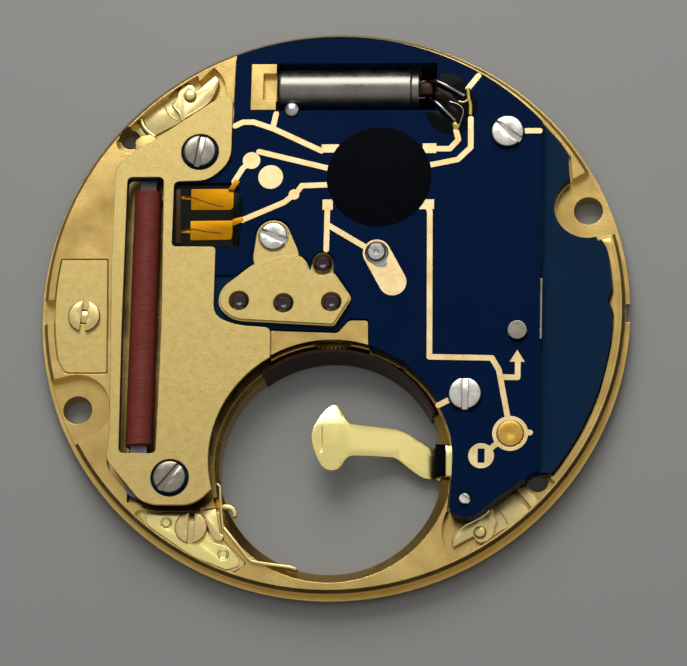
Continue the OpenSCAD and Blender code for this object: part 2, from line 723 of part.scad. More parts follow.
module crystal_can() {
    color("dimgray") translate([can_at.x, can_at.y, can_z]) rotate([0, 90, 0])
        rotate_extrude() polygon(rounded([[0, 0], [can_d / 2 - 0.12, 0, 0.1],
            [can_d / 2, 0.14, 0.1], [can_d / 2, can_l - 0.35, 0.05], [can_d / 2 - 0.08, can_l - 0.3],
            [can_d / 2 - 0.08, can_l], [0, can_l]]));
}

// Wire of small diameter through a list of points
module wire(points, d) {
    for (i = [0:len(points) - 2]) hull() {
        translate(points[i]) sphere(d = d, $fn = 8);
        translate(points[i + 1]) sphere(d = d, $fn = 8);
    }
}

module crystal_leads() {
    x0 = can_at.x + can_l;
    color("silver") {
        translate([x0, can_at.y, can_z]) rotate([0, 90, 0]) cylinder(d = can_d * 0.6, h = 0.3);
        wire([[x0 + 0.2, can_at.y + 0.3, can_z], [x0 + 0.62, can_at.y + 0.25, board_top + 0.15],
            [5.75, 9.45, board_top + 0.1]], 0.2);
        wire([[x0 + 0.2, can_at.y - 0.3, can_z], [x0 + 0.6, can_at.y - 0.5, board_top + 0.15],
            [5.35, 8.3, board_top + 0.1]], 0.2);
    }
}

module crystal_seat() {
    color("gold") difference() {
        translate([seat_x, can_at.y - can_d / 2 - 0.12, floor_z])
            cube([can_at.x - seat_x - 0.04, can_d + 0.24, board_top + 0.02 - floor_z]);
        translate([seat_x + 0.54, can_at.y - 0.62, board_top - 0.35]) cube([2, 1.25, 2]);
    }
}

module solder_joints() {
    color("silver") {
        at(post_pad_at, board_top) cylinder(d = 0.74, h = 0.22);
        at([-2.0, 8.45], board_top) cylinder(d1 = 0.7, d2 = 0.45, h = 0.12);
    }
}

module contact_rivet() {
    color("gold") {
        rod(rivet_at, rivet_d / 2 - 0.03, board_z + 0.01, board_top + 0.09);
        rod(rivet_at, 0.27, floor_z + 0.3, board_z + 0.02);
    }
}

module coil_terminal_board() {
    color("darkslategray") slab(board_z - board_t, board_z) difference() {
        terminal_window(0);
        for (p = coil_screw_at) translate(p) circle(d = screw_head_d);
    }
}

module coil_terminal_pads() {
    color("orange") slab(board_z, board_z + 0.04) {
        translate([-6.39, 4.31]) square([1.95, 1.02]);
        translate([-6.39, 2.9]) square([1.95, 0.93]);
    }
}

module coil_winding() {
    color("firebrick") translate([coil_at.x, coil_at.y + coil_l / 2, coil_z]) rotate([90, 0, 0])
        difference() {
            cylinder(d = coil_d, h = coil_l);
            translate([-core_w / 2 - 0.01, -core_t / 2 - 0.01, -1])
                cube([core_w + 0.02, core_t + 0.02, coil_l + 2]);
        }
}

module coil_core() {
    color("gray") slab(coil_z - core_t / 2, coil_z + core_t / 2) core_outline();
}

module coil_plate() {
    color("tan") difference() {
        slab(board_top, board_top + coil_plate_t) difference() {
            coil_plate_outline();
            coil_slot();
        }
        for (p = coil_screw_at) rod(p, 0.36, 0, 4);
        for (p = coil_screw_at) rod(p, screw_head_d / 2 + 0.06, board_top + coil_plate_t - 0.04, 4);
    }
}

module coil_screws() {
    color("lightgray") for (i = [0, 1]) screw(coil_screw_at[i], screw_head_d,
        board_top + coil_plate_t - 0.04, screw_top, 0.54, 0.5, [80, 50][i]);
}

module stator() {
    color("slategray") slab(floor_z, floor_z + stator_t) stator_outline();
}

module module_screws() {
    color("lightgray") for (i = [0, 1]) screw(module_screw_at[i], screw_head_d,
        board_z, screw_top - 0.1, 0.54, 0.7, [-35, 90][i]);
}

module pillar_pin() {
    color("lightgray") screw(pin_at, 0.5, board_top - 0.05, board_top + 0.12, 0.26, 0.5, -35);
}

module train_bridge() {
    color("tan") difference() {
        union() {
            slab(bridge_z, bridge_top - bridge_bevel) bridge_outline();
            slab(bridge_top - bridge_bevel, bridge_top) offset(delta = -bridge_bevel)
                bridge_outline();
            slab(bridge_z, bridge_z + 0.18) bridge_ear();
        }
        for (p = [rotor_at, intermediate_at, [0, 0]]) {
            rod(p, jewel_d / 2, 0, 4);
            rod(p, jewel_d / 2 + 0.14, bridge_top - 0.07, 4);
        }
        rod(third_at, jewel_d / 2, 0, 4);
        rod(bridge_screw_at, 0.26, 0, 4);
        rod(bridge_screw_at, 0.68, bridge_z + 0.12, 4);
    }
}

module bridge_screw() {
    color("lightgray") screw(bridge_screw_at, 1.24, bridge_z + 0.12, bridge_top - 0.02, 0.42, 0.6,
        -20);
}

module jewel(p, z0, z1, d) {
    at(p) difference() {
        translate([0, 0, z0]) cylinder(d = d, h = z1 - z0);
        translate([0, 0, z0 - 1]) cylinder(r = pivot_d / 2 + run_gap, h = 4);
        translate([0, 0, z1 - 0.07])
            cylinder(r1 = pivot_d / 2 + run_gap, r2 = d / 2 - 0.07, h = 0.08);
    }
}

module bridge_jewels() {
    color("purple") {
        for (p = [rotor_at, intermediate_at, [0, 0]]) jewel(p, bridge_z, bridge_top - 0.05, jewel_d);
        jewel(third_at, bridge_z, bridge_z + 0.22, jewel_d);
    }
}

module plate_jewels() {
    color("purple") {
        for (p = [rotor_at, intermediate_at]) jewel(p, 0.6, 0.8, 0.5);
        jewel(third_at, dial_recess + 0.02, train_floor_z - 0.01, 0.5);
    }
}

module rotor() {
    color("dimgray") at(rotor_at) {
        arbor(0.82, bridge_z - 0.03, 0.63, pivot_top);
        translate([0, 0, floor_z + 0.03]) cylinder(d = magnet_d, h = stator_t - 0.06);
        leaves(rotor_leaves, m_rotor, bearing(rotor_at, intermediate_at),
            intermediate_z - 0.06, intermediate_z + wheel_t + 0.1);
    }
}

module intermediate_wheel() {
    color("gold") at(intermediate_at) {
        arbor(0.82, bridge_z - 0.03, 0.63, pivot_top);
        crossed_wheel(intermediate_teeth, m_rotor,
            bearing(intermediate_at, rotor_at) + 180 / intermediate_teeth,
            intermediate_z, wheel_t, 0.9, 4);
        leaves(intermediate_leaves, m_seconds, bearing(intermediate_at, [0, 0]),
            seconds_z - 0.04, intermediate_z + hair);
    }
}

module seconds_wheel() {
    color("gold") {
        arbor(third_z - 0.06, bridge_z - 0.03, 0, pivot_top);
        crossed_wheel(seconds_teeth, m_seconds,
            bearing([0, 0], intermediate_at) + 180 / seconds_teeth,
            seconds_z, wheel_t, 0.7, 4);
        leaves(train_leaves, m_third, bearing([0, 0], third_at), third_z - 0.04, seconds_z + hair);
    }
}

module third_wheel() {
    color("gold") at(third_at) {
        arbor(train_floor_z + 0.01, bridge_z - 0.03, dial_recess + 0.04, bridge_z + 0.16);
        crossed_wheel(third_teeth, m_third, bearing(third_at, [0, 0]) + 180 / third_teeth,
            third_z, wheel_t, 0.8, 4);
        leaves(train_leaves, m_centre, bearing(third_at, [0, 0]), third_pinion_z, third_z + hair);
    }
}

module centre_wheel() {
    color("gold") difference() {
        union() {
            crossed_wheel(centre_teeth, m_centre,
                bearing([0, 0], third_at) + 180 / centre_teeth, minute_z, wheel_t, 1.0, 4);
            translate([0, 0, dial_recess + 0.05]) cylinder(r = cannon_r, h = minute_z - dial_recess);
        }
        translate([0, 0, -1]) cylinder(r = pivot_d / 2 + run_gap, h = 4);
    }
}

module cannon_pinion() {
    color("silver") difference() {
        union() {
            cylinder(r = cannon_r, h = dial_recess + 0.05);
            leaves(cannon_leaves, motion_module, bearing([0, 0], minute_at),
                dial_recess - 0.14, dial_recess - 0.02);
        }
        translate([0, 0, -1]) cylinder(r = pivot_d / 2 + run_gap, h = 4);
    }
}

module minute_wheel() {
    color("gold") at(minute_at) {
        crossed_wheel(minute_teeth, motion_module,
            bearing(minute_at, [0, 0]) + 180 / minute_teeth, dial_recess - 0.12, wheel_t, 1.0, 4);
        leaves(minute_leaves, motion_module, bearing(minute_at, [0, 0]),
            motion_cover_t + 0.03, dial_recess - 0.12 + hair);
        translate([0, 0, motion_cover_t + 0.01]) cylinder(d = 0.3, h = dial_recess - motion_cover_t - 0.02);
    }
}

module hour_wheel() {
    color("gold") difference() {
        union() {
            crossed_wheel(hour_teeth, motion_module,
                bearing([0, 0], minute_at) + 180 / hour_teeth, motion_cover_t + 0.04, wheel_t,
                2 * hour_pipe_r + 0.1, 5);
            cylinder(r = hour_pipe_r, h = motion_cover_t + 0.04 + wheel_t);
        }
        translate([0, 0, -1]) cylinder(r = cannon_r + run_gap, h = 4);
    }
}

module motion_cover_outline(grow = 0) {
    offset(delta = grow) hull() {
        circle(r = motion_module * hour_teeth / 2 + 0.6);
        translate(minute_at) circle(r = motion_module * minute_teeth / 2 + 0.55);
        translate(setting_at) circle(r = motion_module * setting_teeth / 2 + 0.55);
        for (p = motion_screw_at) translate(p) circle(r = 0.8);
    }
}

module motion_cover() {
    color("silver") difference() {
        slab(0, motion_cover_t) motion_cover_outline();
        translate([0, 0, -1]) cylinder(r = hour_pipe_r + 0.06, h = 3);
        for (p = motion_screw_at) rod(p, 0.24, -1, 3);
    }
}

module motion_cover_screws() {
    color("lightgray") for (p = motion_screw_at) rod(p, 0.19, 0, 0.45);
}

module setting_wheel() {
    color("silver") at(setting_at) {
        phase = (bearing(minute_at, setting_at) - bearing(minute_at, [0, 0])) * minute_teeth / 360;
        crossed_wheel(setting_teeth, motion_module,
            bearing(setting_at, minute_at) + phase * 360 / setting_teeth,
            dial_recess - 0.12, wheel_t, 0.9, 4);
        translate([0, 0, motion_cover_t + 0.01])
            cylinder(d = 0.4, h = dial_recess - motion_cover_t - 0.02);
    }
}

module sliding_pinion() {
    color("silver") translate([sliding_x, 0, stem_z]) rotate([0, 90, 0]) difference() {
        union() {
            translate([0, 0, 0.2]) cylinder(d = sliding_d, h = sliding_l - 0.2);
            linear_extrude(0.3) teeth(16, sliding_d / 18.5);
        }
        translate([-0.22, -0.22, -1]) cube([0.44, 0.44, 4]);
        translate([0, 0, sliding_l - 0.25 - groove_w]) difference() {
            cylinder(d = 3, h = groove_w);
            translate([0, 0, -1]) cylinder(r = 0.38, h = 3);
        }
    }
}

module yoke() {
    color("silver") {
        slab(lever_z, lever_z + lever_t) {
            translate(yoke_at) circle(r = 0.5);
            path([yoke_at, [groove_at.x - 0.1, yoke_at.y / 2], groove_at], 0.5);
        }
        rod(groove_at, 0.12, stem_z + 0.42, lever_z + hair);
        rod(yoke_at, 0.25, 0.4, lever_z + hair);
    }
}

module setting_lever() {
    color("silver") {
        slab(lever_z, lever_z + lever_t) {
            translate(post_at) circle(r = 0.62);
            path([post_at, lever_pin_at], 0.5);
            path([post_at, [7.75, -0.35]], 0.4);
        }
        rod(lever_pin_at, 0.14, stem_z + 0.2, lever_z + hair);
        rod(post_at, 0.25, 0.4, lever_z + hair);
        rod(post_at, post_d / 2, lever_z, board_top + 0.2);
    }
}

module reset_spring() {
    color("silver") translate([groove_x, -1.6, board_top - 0.3]) cube([0.1, 2.75, 0.25]);
}

module side_cover() {
    color("gold") difference() {
        slab(rim_z - cover_t, rim_z) side_cover_outline();
        outline_notch();
        rod(side_screw_at, 0.34, 0, 4);
    }
}

module side_cover_screw() {
    color("gold") screw(side_screw_at, screw_head_d, rim_z, rim_z + 0.18, 0.54, 0.5, 85);
}

module dial_fastener(i) {
    color("gold") at(fastener_pin_at[i], fastener_z) rotate(180 * i)
        linear_extrude(fastener_t) fastener_outline();
}

module dial_fastener_upper() {
    dial_fastener(0);
}

module dial_fastener_lower() {
    dial_fastener(1);
}

module fastener_pins() {
    color("gold") for (p = fastener_pin_at) rod(p, fastener_pin_d / 2, 0.5, rim_z + 0.02);
}

// Spring sheets with a rolled edge that bears on the dial foot
module foot_clips() {
    roll_r = 0.2;
    roll_from = [-2.2, -1.24];
    roll_to = [-1.72, -1.96];
    color("gold") for (i = [0, 1]) at(fastener_pin_at[i], pocket_z) rotate(180 * i) {
        linear_extrude(clip_t) difference() {
            clip_outline();
            circle(d = fastener_pin_d);
        }
        translate([roll_from.x, roll_from.y, clip_t]) rotate([0, 0, bearing(roll_from, roll_to)])
            rotate([0, 90, 0]) intersection() {
                cylinder(r = roll_r, h = dist(roll_from, roll_to));
                translate([-1 + clip_t / 2, -1, -1]) cube([1, 2, 4]);
            }
    }
}

module cell_clamp() {
    color("gold") difference() {
        slab(clamp_z + contact_t, rim_z + 0.05) clamp_outline();
        rod(clamp_screw_at, 0.34, 0, 4);
        for (p = rivets_at) rod(p, 0.25, 0, 4);
    }
}

module clamp_rivets() {
    color("gold") for (p = rivets_at) rod(p, 0.25, clamp_z + contact_t, rim_z + 0.09);
}

module cell_clamp_screw() {
    color("gold") screw(clamp_screw_at, screw_head_d, rim_z + 0.05, rim_z + 0.25, 0.54, 0.5, 90);
}

// Contact for the cell's rim: a flat sheet, an upright blade and an arm along the well
module cell_contact_spring() {
    upright = [[-4.8, -8.02], [-4.67, -8.2], [-4.55, -9.9], [-3.36, -11.47], [-2.82, -11.56],
        [-1.28, -11.76]];
    color("gold") {
        difference() {
            slab(clamp_z, clamp_z + contact_t) contact_outline();
            rod(clamp_screw_at, 0.34, 0, 4);
        }
        slab(clamp_z + hair, rim_z + 0.25) intersection() {
            path(upright, 0.12);
            contact_outline();
        }
        slab(rim_z + 0.02, rim_z + 0.25) path(upright, 0.12);
    }
}

module strap_root(grow = 0) {
    translate([strap_wall_x - 0.3, strap_y[0] - grow])
        square([strap_root_x - strap_wall_x + 0.3 + grow, strap_y[1] - strap_y[0] + 2 * grow]);
}

// Sprung strap under the cell, from its root on the plate down the well's wall and up to its head
module cell_strap() {
    foot_z = 0.4;
    strap_bend_x = strap_wall_x - 0.36;
    color("khaki") {
        intersection() {
            slab(0.2, 2.4) outline([[0.1, -4.4, 0.2], [-0.72, -5.8, 0.3], [0.15, -7.35, 0.2],
                [0.66, -6.78, 0.2], [0.95, -6.66, 0.1], [2.77, -6.65, 0.2],
                [strap_bend_x - 0.4, strap_y[0], 0.2], [strap_wall_x + 0.24, strap_y[0]],
                [strap_wall_x + 0.24, strap_y[1]], [strap_bend_x + 0.06, strap_y[1], 0.1],
                [2.94, -5.37, 0.2], [0.92, -5.25, 0.1], [0.72, -5.1, 0.1]]);
            translate([0, -3, 0]) rotate([90, 0, 0]) linear_extrude(6) polygon([
                [-1.2, strap_rise - strap_t], [0.7, strap_rise - 0.2 - strap_t],
                [2.8, 0.8 - strap_t], [strap_bend_x, foot_z], [strap_wall_x + strap_t, foot_z],
                [strap_wall_x + strap_t, foot_z + strap_t], [strap_bend_x, foot_z + strap_t],
                [2.8, 0.8], [0.7, strap_rise - 0.2], [-1.2, strap_rise]]);
        }
        translate([strap_wall_x, strap_y[0], foot_z])
            cube([strap_t, strap_y[1] - strap_y[0], floor_z + strap_t - foot_z]);
        translate([strap_wall_x, strap_y[0], floor_z])
            cube([strap_root_x - strap_wall_x, strap_y[1] - strap_y[0], strap_t]);
    }
}

module well_insulator() {
    color("saddlebrown") at(well) rotate([0, 0, 26]) rotate_extrude(angle = 102)
        polygon([[well_r - 0.12, 0.1], [well_r - 0.02, 0.1], [well_r - 0.02, rim_z - well_bevel],
            [well_r + 0.16, rim_z - well_bevel + 0.22], [well_r + 0.16, insulator_h],
            [well_r + 0.02, insulator_h]]);
}

main_plate();
module_carrier();
circuit_board();
circuit_tracks();
circuit_cap();
crystal_can();
crystal_leads();
crystal_seat();
solder_joints();
contact_rivet();
coil_terminal_board();
coil_terminal_pads();
coil_winding();
coil_core();
coil_plate();
coil_screws();
stator();
module_screws();
pillar_pin();
train_bridge();
bridge_screw();
bridge_jewels();
plate_jewels();
rotor();
intermediate_wheel();
third_wheel();
seconds_wheel();
centre_wheel();
cannon_pinion();
minute_wheel();
hour_wheel();
motion_cover();
motion_cover_screws();
setting_wheel();
sliding_pinion();
yoke();
setting_lever();
reset_spring();
side_cover();
side_cover_screw();
dial_fastener_upper();
dial_fastener_lower();
fastener_pins();
foot_clips();
cell_clamp();
clamp_rivets();
cell_clamp_screw();
cell_contact_spring();
cell_strap();
well_insulator();
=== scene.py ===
import math

import bpy
from mathutils import Matrix, Vector


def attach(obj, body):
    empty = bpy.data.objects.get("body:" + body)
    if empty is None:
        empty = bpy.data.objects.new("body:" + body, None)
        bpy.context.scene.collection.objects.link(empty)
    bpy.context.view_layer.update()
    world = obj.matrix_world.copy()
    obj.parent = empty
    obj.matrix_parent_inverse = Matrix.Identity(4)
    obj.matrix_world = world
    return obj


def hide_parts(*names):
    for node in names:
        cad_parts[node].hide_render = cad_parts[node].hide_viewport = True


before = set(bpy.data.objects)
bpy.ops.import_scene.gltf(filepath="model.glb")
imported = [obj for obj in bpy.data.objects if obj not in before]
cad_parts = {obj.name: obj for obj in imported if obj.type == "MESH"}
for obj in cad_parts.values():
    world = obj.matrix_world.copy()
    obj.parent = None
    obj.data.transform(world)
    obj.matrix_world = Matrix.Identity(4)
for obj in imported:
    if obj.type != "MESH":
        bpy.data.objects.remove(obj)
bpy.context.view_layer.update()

bl_info = {
    "name": "Quartz watch movement looks",
    "version": (1, 0, 0),
    "blender": (4, 5, 0),
    "location": "3D View > Sidebar > Movement",
    "description": "Finishes and fine pieces for a quartz watch movement",
    "category": "Object",
}

MM = 0.001
# the photograph's width in pixels, and the focal length in pixels that goes with this distance
PHOTO_WIDTH = 687
FOCAL_PIXELS = 4527.8
CAMERA_DISTANCE = 200 * MM
# a camera's usual sensor, in mm
SENSOR = 36
# the camera's tip from straight above in degrees, and the middle of its view in mm
CAMERA_TIP = (-16.33, -5.01)
CAMERA_SHIFT = (-0.336, 0.693)
# places in plan and heights, in mm, where pieces of several operators meet
COIL_SCREWS = ((-6.01, 6.95), (-6.84, -7.93))
FASTENER_PINS = ((-6.68, 9.96), (6.6, -10.04))
CLAMP_SCREW = (-5.93, -9.96)
CLAMP_RIVETS = ((-7.03, -9.72), (-4.5, -11.11))
BOARD_TOP = 2.15
# reach of the floor's faint change of tone, in mm
FLOOR_PATCH = 100 / 3


def linear(hex_value):
    """An sRGB hex value as the linear colour that shaders use; a colour property stays as it is"""
    if not isinstance(hex_value, str):
        return tuple(hex_value)
    parts = [int(hex_value[i:i + 2], 16) / 255 for i in (0, 2, 4)]
    return (*[v / 12.92 if v <= 0.04045 else ((v + 0.055) / 1.055) ** 2.4 for v in parts], 1.0)


class MovementSizes(bpy.types.PropertyGroup):
    wire_pitch: bpy.props.FloatProperty(
        name="Coil pitch", description="Distance between the coil's visible turns",
        default=0.1 * MM, min=0.08 * MM, max=0.3 * MM, precision=6, unit="LENGTH")
    camera_distance: bpy.props.FloatProperty(
        name="Camera distance", description="From the lens to the middle of the movement",
        default=CAMERA_DISTANCE, min=100 * MM, max=600 * MM, unit="LENGTH")
    floor_size: bpy.props.FloatProperty(
        name="Floor", description="Side of the plain floor", default=1.6, min=0.5, max=4,
        unit="LENGTH")


def colour(name, description, hex_value):
    """A colour property that starts as this sRGB hex value"""
    return bpy.props.FloatVectorProperty(name=name, description=description, subtype="COLOR",
                                         size=4, min=0, max=1, default=linear(hex_value))


class MovementColours(bpy.types.PropertyGroup):
    gilt: colour("Gilding", "Colour of the gold plating on the main plate", "E2C67C")
    matte_gilt: colour("Frosted gilding", "Colour of the grained coil plate and bridge", "CCB572")
    board: colour("Board", "Colour of the solder mask on the circuit board", "031C40")
    winding: colour("Winding", "Colour of the enamel on the coil wire", "8A4238")
    floor: colour("Floor", "Colour of the plain floor", "8E8E8B")


def add(tree, kind, inputs=None, **settings):
    """Adds one node, makes its settings, and fills or links its inputs"""
    node = tree.nodes.new(kind)
    for name, value in settings.items():
        setattr(node, name, value)
    for key, value in (inputs or {}).items():
        if isinstance(value, bpy.types.NodeSocket):
            tree.links.new(value, node.inputs[key])
        else:
            node.inputs[key].default_value = value
    return node


def per(size):
    """Texture scale that gives features of that size in millimetres"""
    return 1 / (size * MM)


def begin(name, pale, deep, patch, detail, ragged=0.5):
    """A new material whose colour drifts between two tones over patch mm"""
    material = bpy.data.materials.new(name)
    material.use_nodes = True
    tree = material.node_tree
    tree.nodes.clear()
    shader = add(tree, "ShaderNodeBsdfPrincipled")
    add(tree, "ShaderNodeOutputMaterial", {"Surface": shader.outputs[0]})
    place = add(tree, "ShaderNodeTexCoord").outputs["Object"]
    drift = add(tree, "ShaderNodeTexNoise", {"Vector": place, "Scale": per(patch),
                                             "Detail": detail, "Roughness": ragged}).outputs["Fac"]
    tone = add(tree, "ShaderNodeMix", {0: drift, 6: linear(deep), 7: linear(pale)},
               data_type="RGBA")
    tree.links.new(tone.outputs[2], shader.inputs["Base Color"])
    return material, tree, shader, place, drift


def relieve(tree, shader, fine, relief, round_edge):
    """Raises a fine noise by relief mm, and makes edges look rounded over round_edge mm"""
    edge = add(tree, "ShaderNodeBevel", {"Radius": round_edge * MM}, samples=6)
    bump = add(tree, "ShaderNodeBump", {"Height": fine.outputs["Fac"], "Distance": relief * MM,
                                        "Strength": 1.0, "Normal": edge.outputs[0]})
    tree.links.new(bump.outputs[0], shader.inputs["Normal"])


def metal(name, pale, deep, roughness, patch=1.6, grain=0.09, relief=0.0025, lines=None,
          round_edge=0.035, drift_gloss=0.07):
    """Metal whose tone and gloss drift over patch mm, with a grain or drawn lines"""
    material, tree, shader, place, drift = begin(name, pale, deep, patch, 5.0, 0.65)
    if lines:
        place = add(tree, "ShaderNodeMapping", {"Vector": place, "Scale": lines}).outputs[0]
    fine = add(tree, "ShaderNodeTexNoise", {"Vector": place, "Scale": per(grain), "Detail": 2.0,
                                            "Roughness": 0.5 if lines else 0.6})
    gloss = add(tree, "ShaderNodeMapRange", {"Value": drift, "From Min": 0.3, "From Max": 0.7,
                                             "To Min": roughness - drift_gloss,
                                             "To Max": roughness + drift_gloss})
    relieve(tree, shader, fine, relief, round_edge)
    tree.links.new(gloss.outputs[0], shader.inputs["Roughness"])
    shader.inputs["Metallic"].default_value = 1.0
    return material


def varnish(name, pale, deep, roughness, ior=1.5, patch=2.0, grain=0.12, relief=0.002,
            round_edge=0.03, shine=0.12):
    """Moulded, coated or glassy finish whose colour drifts softly between two tones"""
    material, tree, shader, place, _ = begin(name, pale, deep, patch, 4.0)
    fine = add(tree, "ShaderNodeTexNoise", {"Vector": place, "Scale": per(grain), "Detail": 3.0})
    relieve(tree, shader, fine, relief, round_edge)
    shader.inputs["Roughness"].default_value = roughness
    shader.inputs["IOR"].default_value = ior
    shader.inputs["Specular IOR Level"].default_value = shine
    return material


def paint(material, *names):
    """Gives a material to fixed parts"""
    for name in names:
        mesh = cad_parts[name].data
        mesh.materials.clear()
        mesh.materials.append(material)


class MOVEMENT_OT_finishes(bpy.types.Operator):
    """Gives each fixed part the finish of the real metal, plastic or stone"""
    bl_idname = "movement.finishes"
    bl_label = "Finishes"

    def execute(self, context):
        colours = context.scene.movement_colours
        # gold-plated brass, satin from tumbling: a warm, soft sheen with bright broken edges
        plate = metal("gold-plated satin brass", colours.gilt, "B48E48", 0.24,
                      patch=2.0, grain=0.07, relief=0.003)
        paint(plate, "main_plate", "crystal_seat", "centre_wheel")
        # gold-plated brass blasted with fine beads: an even grain about 0.06 mm across
        frosted = metal("gold-plated frosted brass", colours.matte_gilt, "A58E55", 0.40,
                        patch=0.28, grain=0.06, relief=0.007, drift_gloss=0.03)
        paint(frosted, "coil_plate", "train_bridge", "side_cover")
        # rolled and plated spring bronze: pale gold, nearly polished, with faint rolling lines
        spring = metal("gold-plated spring bronze", "FFF0A0", "F6E08A", 0.22,
                       patch=1.5, grain=0.05, relief=0.0008, lines=(0.15, 1.0, 1.0))
        paint(spring, "cell_strap", "cell_clamp", "cell_contact_spring", "clamp_rivets")
        # pressed and plated steel of the dial fasteners
        pressed = metal("gold-plated pressed steel", "EEDC9C", "D4BA78", 0.31,
                        patch=0.9, grain=0.06, relief=0.0022)
        paint(pressed, "dial_fastener_upper", "dial_fastener_lower", "foot_clips", "fastener_pins",
              "side_cover_screw", "cell_clamp_screw", "contact_rivet")
        # nickel-plated turned steel: cool light grey with fine tool marks
        screw = metal("nickel-plated turned steel", "A49E90", "807A6D", 0.24,
                      patch=0.5, grain=0.05, relief=0.0016, round_edge=0.05)
        paint(screw, "coil_screws", "module_screws", "bridge_screw", "setting_lever", "yoke",
              "reset_spring", "sliding_pinion", "setting_wheel", "cannon_pinion", "motion_cover")
        # the same plating in a lighter tone, almost white: a lit copy of it, painted highlight
        bright = metal("lit nickel-plated steel", "DEDBD2", "B8B4A9", 0.26,
                       patch=0.5, grain=0.05, relief=0.0016, round_edge=0.05)
        paint(bright, "pillar_pin", "motion_cover_screws")
        # brass train wheels, cut and lightly gilt
        wheels = metal("cut brass", "E2BE62", "BF983F", 0.25, patch=0.8, grain=0.05,
                       relief=0.001, round_edge=0.015)
        paint(wheels, "intermediate_wheel", "third_wheel", "seconds_wheel", "minute_wheel",
              "hour_wheel")
        # samarium-cobalt magnet on a dark arbor
        magnet = metal("sintered magnet", "55565A", "303135", 0.45, patch=0.5)
        paint(magnet, "rotor")
        # annealed nickel-iron of core and stator: dull grey
        iron = metal("annealed nickel-iron", "8E8F92", "66676C", 0.42, patch=0.9)
        paint(iron, "coil_core", "stator")
        # solder mask over fibre-glass: deep blue with a soft gloss
        mask = varnish("blue solder mask", colours.board, "021634", 0.34, patch=2.2,
                       grain=0.25, relief=0.0012, shine=0.02)
        paint(mask, "circuit_board")
        # moulded filled plastic: slate blue, satin
        moulded = varnish("moulded blue plastic", "112C46", "0D243D", 0.42, patch=2.6,
                          grain=0.16, relief=0.0022, shine=0.02)
        paint(moulded, "module_carrier")
        # etched copper tracks with a gold flash
        flash = metal("gold-flashed copper", "EBDDB8", "D2A850", 0.38, patch=0.9,
                      grain=0.04, relief=0.002, round_edge=0.01)
        paint(flash, "circuit_tracks")
        # thick plated gold of the coil's terminal pads: deep orange gold
        pads = metal("plated terminal gold", "BE8410", "9E680A", 0.45, patch=0.35,
                     grain=0.06, relief=0.002, round_edge=0.02)
        paint(pads, "coil_terminal_pads")
        # the same plating on a turned and burnished head
        metal("plated rivet gold", "DCB45A", "BE9038", 0.26, patch=0.4, grain=0.05,
              relief=0.003, round_edge=0.02)
        # black potting resin: nearly black, with a fine filler grain
        resin = varnish("black potting resin", "0C0D11", "07080B", 0.7, patch=0.6,
                        grain=0.08, relief=0.004, round_edge=0.02, shine=0.02)
        paint(resin, "circuit_cap")
        # drawn nickel silver can, dulled along its length
        can = metal("tarnished nickel silver", "9A968C", "625F59", 0.30, patch=0.7,
                    grain=0.05, relief=0.0022, lines=(0.08, 1.0, 1.0))
        paint(can, "crystal_can")
        # tinned wire and solder: bright grey
        tin = metal("tin solder", "C4C3BE", "8F8F8C", 0.24, patch=0.3, grain=0.1,
                    relief=0.004)
        paint(tin, "crystal_leads", "solder_joints")
        # bare fibre-glass board: dark grey-green
        fibre = varnish("bare fibre-glass board", "171D16", "0B0F0B", 0.4, patch=0.4,
                        grain=0.07, relief=0.004, shine=0.05)
        paint(fibre, "coil_terminal_board")
        # enamelled copper wire
        enamel = varnish("enamelled copper wire", colours.winding, "6E2E26", 0.4, patch=0.5,
                         grain=0.06, relief=0.002, round_edge=0.01, shine=0.12)
        paint(enamel, "coil_winding")
        # synthetic ruby: dark plum, glassy
        ruby = varnish("synthetic ruby", "341420", "1C0A12", 0.08, ior=1.77, patch=0.3,
                       relief=0.0, shine=0.25)
        paint(ruby, "bridge_jewels", "plate_jewels")
        # solder-tinned lead wire: bright, with a dull drawn skin
        metal("tinned lead wire", "B9B7B0", "77756F", 0.16, patch=0.4, grain=0.05,
              relief=0.001, round_edge=0.01)
        # solder that flux has stained yellow
        metal("gilt-stained solder", "D9C878", "A98F3E", 0.22, patch=0.2, grain=0.08,
              relief=0.004)
        # gold-plated turned steel: the same tool marks, warm
        metal("gold-plated turned steel", "EED89A", "D0B270", 0.24, patch=0.5,
              grain=0.05, relief=0.0016, round_edge=0.02)
        # phenolic moulding, dark amber
        varnish("amber phenolic", "4A2E14", "2A180A", 0.3, patch=0.3, grain=0.05, relief=0.003)
        # spirit varnish brushed over the joints: nearly black green, glossy
        varnish("bottle-green varnish", "0A1715", "050B0A", 0.14, patch=0.5, grain=0.3,
                relief=0.004, shine=0.03)
        # flux burnt round a joint: glossy brown-black
        varnish("burnt flux", "1A100A", "0A0605", 0.15, patch=0.2, grain=0.1, relief=0.006,
                shine=0.08)
        # steep polished wall of a jewel's sink, coloured dark brown-gold: a painted dark reflection
        # of the steep wall
        metal("jewel sink painted dark", "6A5230", "4A3820", 0.2, patch=0.3, relief=0.0005)
        # dark amber insulating film, formed to the well
        film = varnish("brown insulating film", "3C1C0C", "1E0E06", 0.18, ior=1.6,
                       patch=1.0, relief=0.001)
        paint(film, "well_insulator")
        return {"FINISHED"}


def clear_choice():
    """Leaves nothing selected, in object mode"""
    if bpy.context.mode != "OBJECT":
        bpy.ops.object.mode_set(mode="OBJECT")
    bpy.ops.object.select_all(action="DESELECT")


def take(piece):
    """Makes a piece the only one selected"""
    clear_choice()
    piece.select_set(True)
    bpy.context.view_layer.objects.active = piece


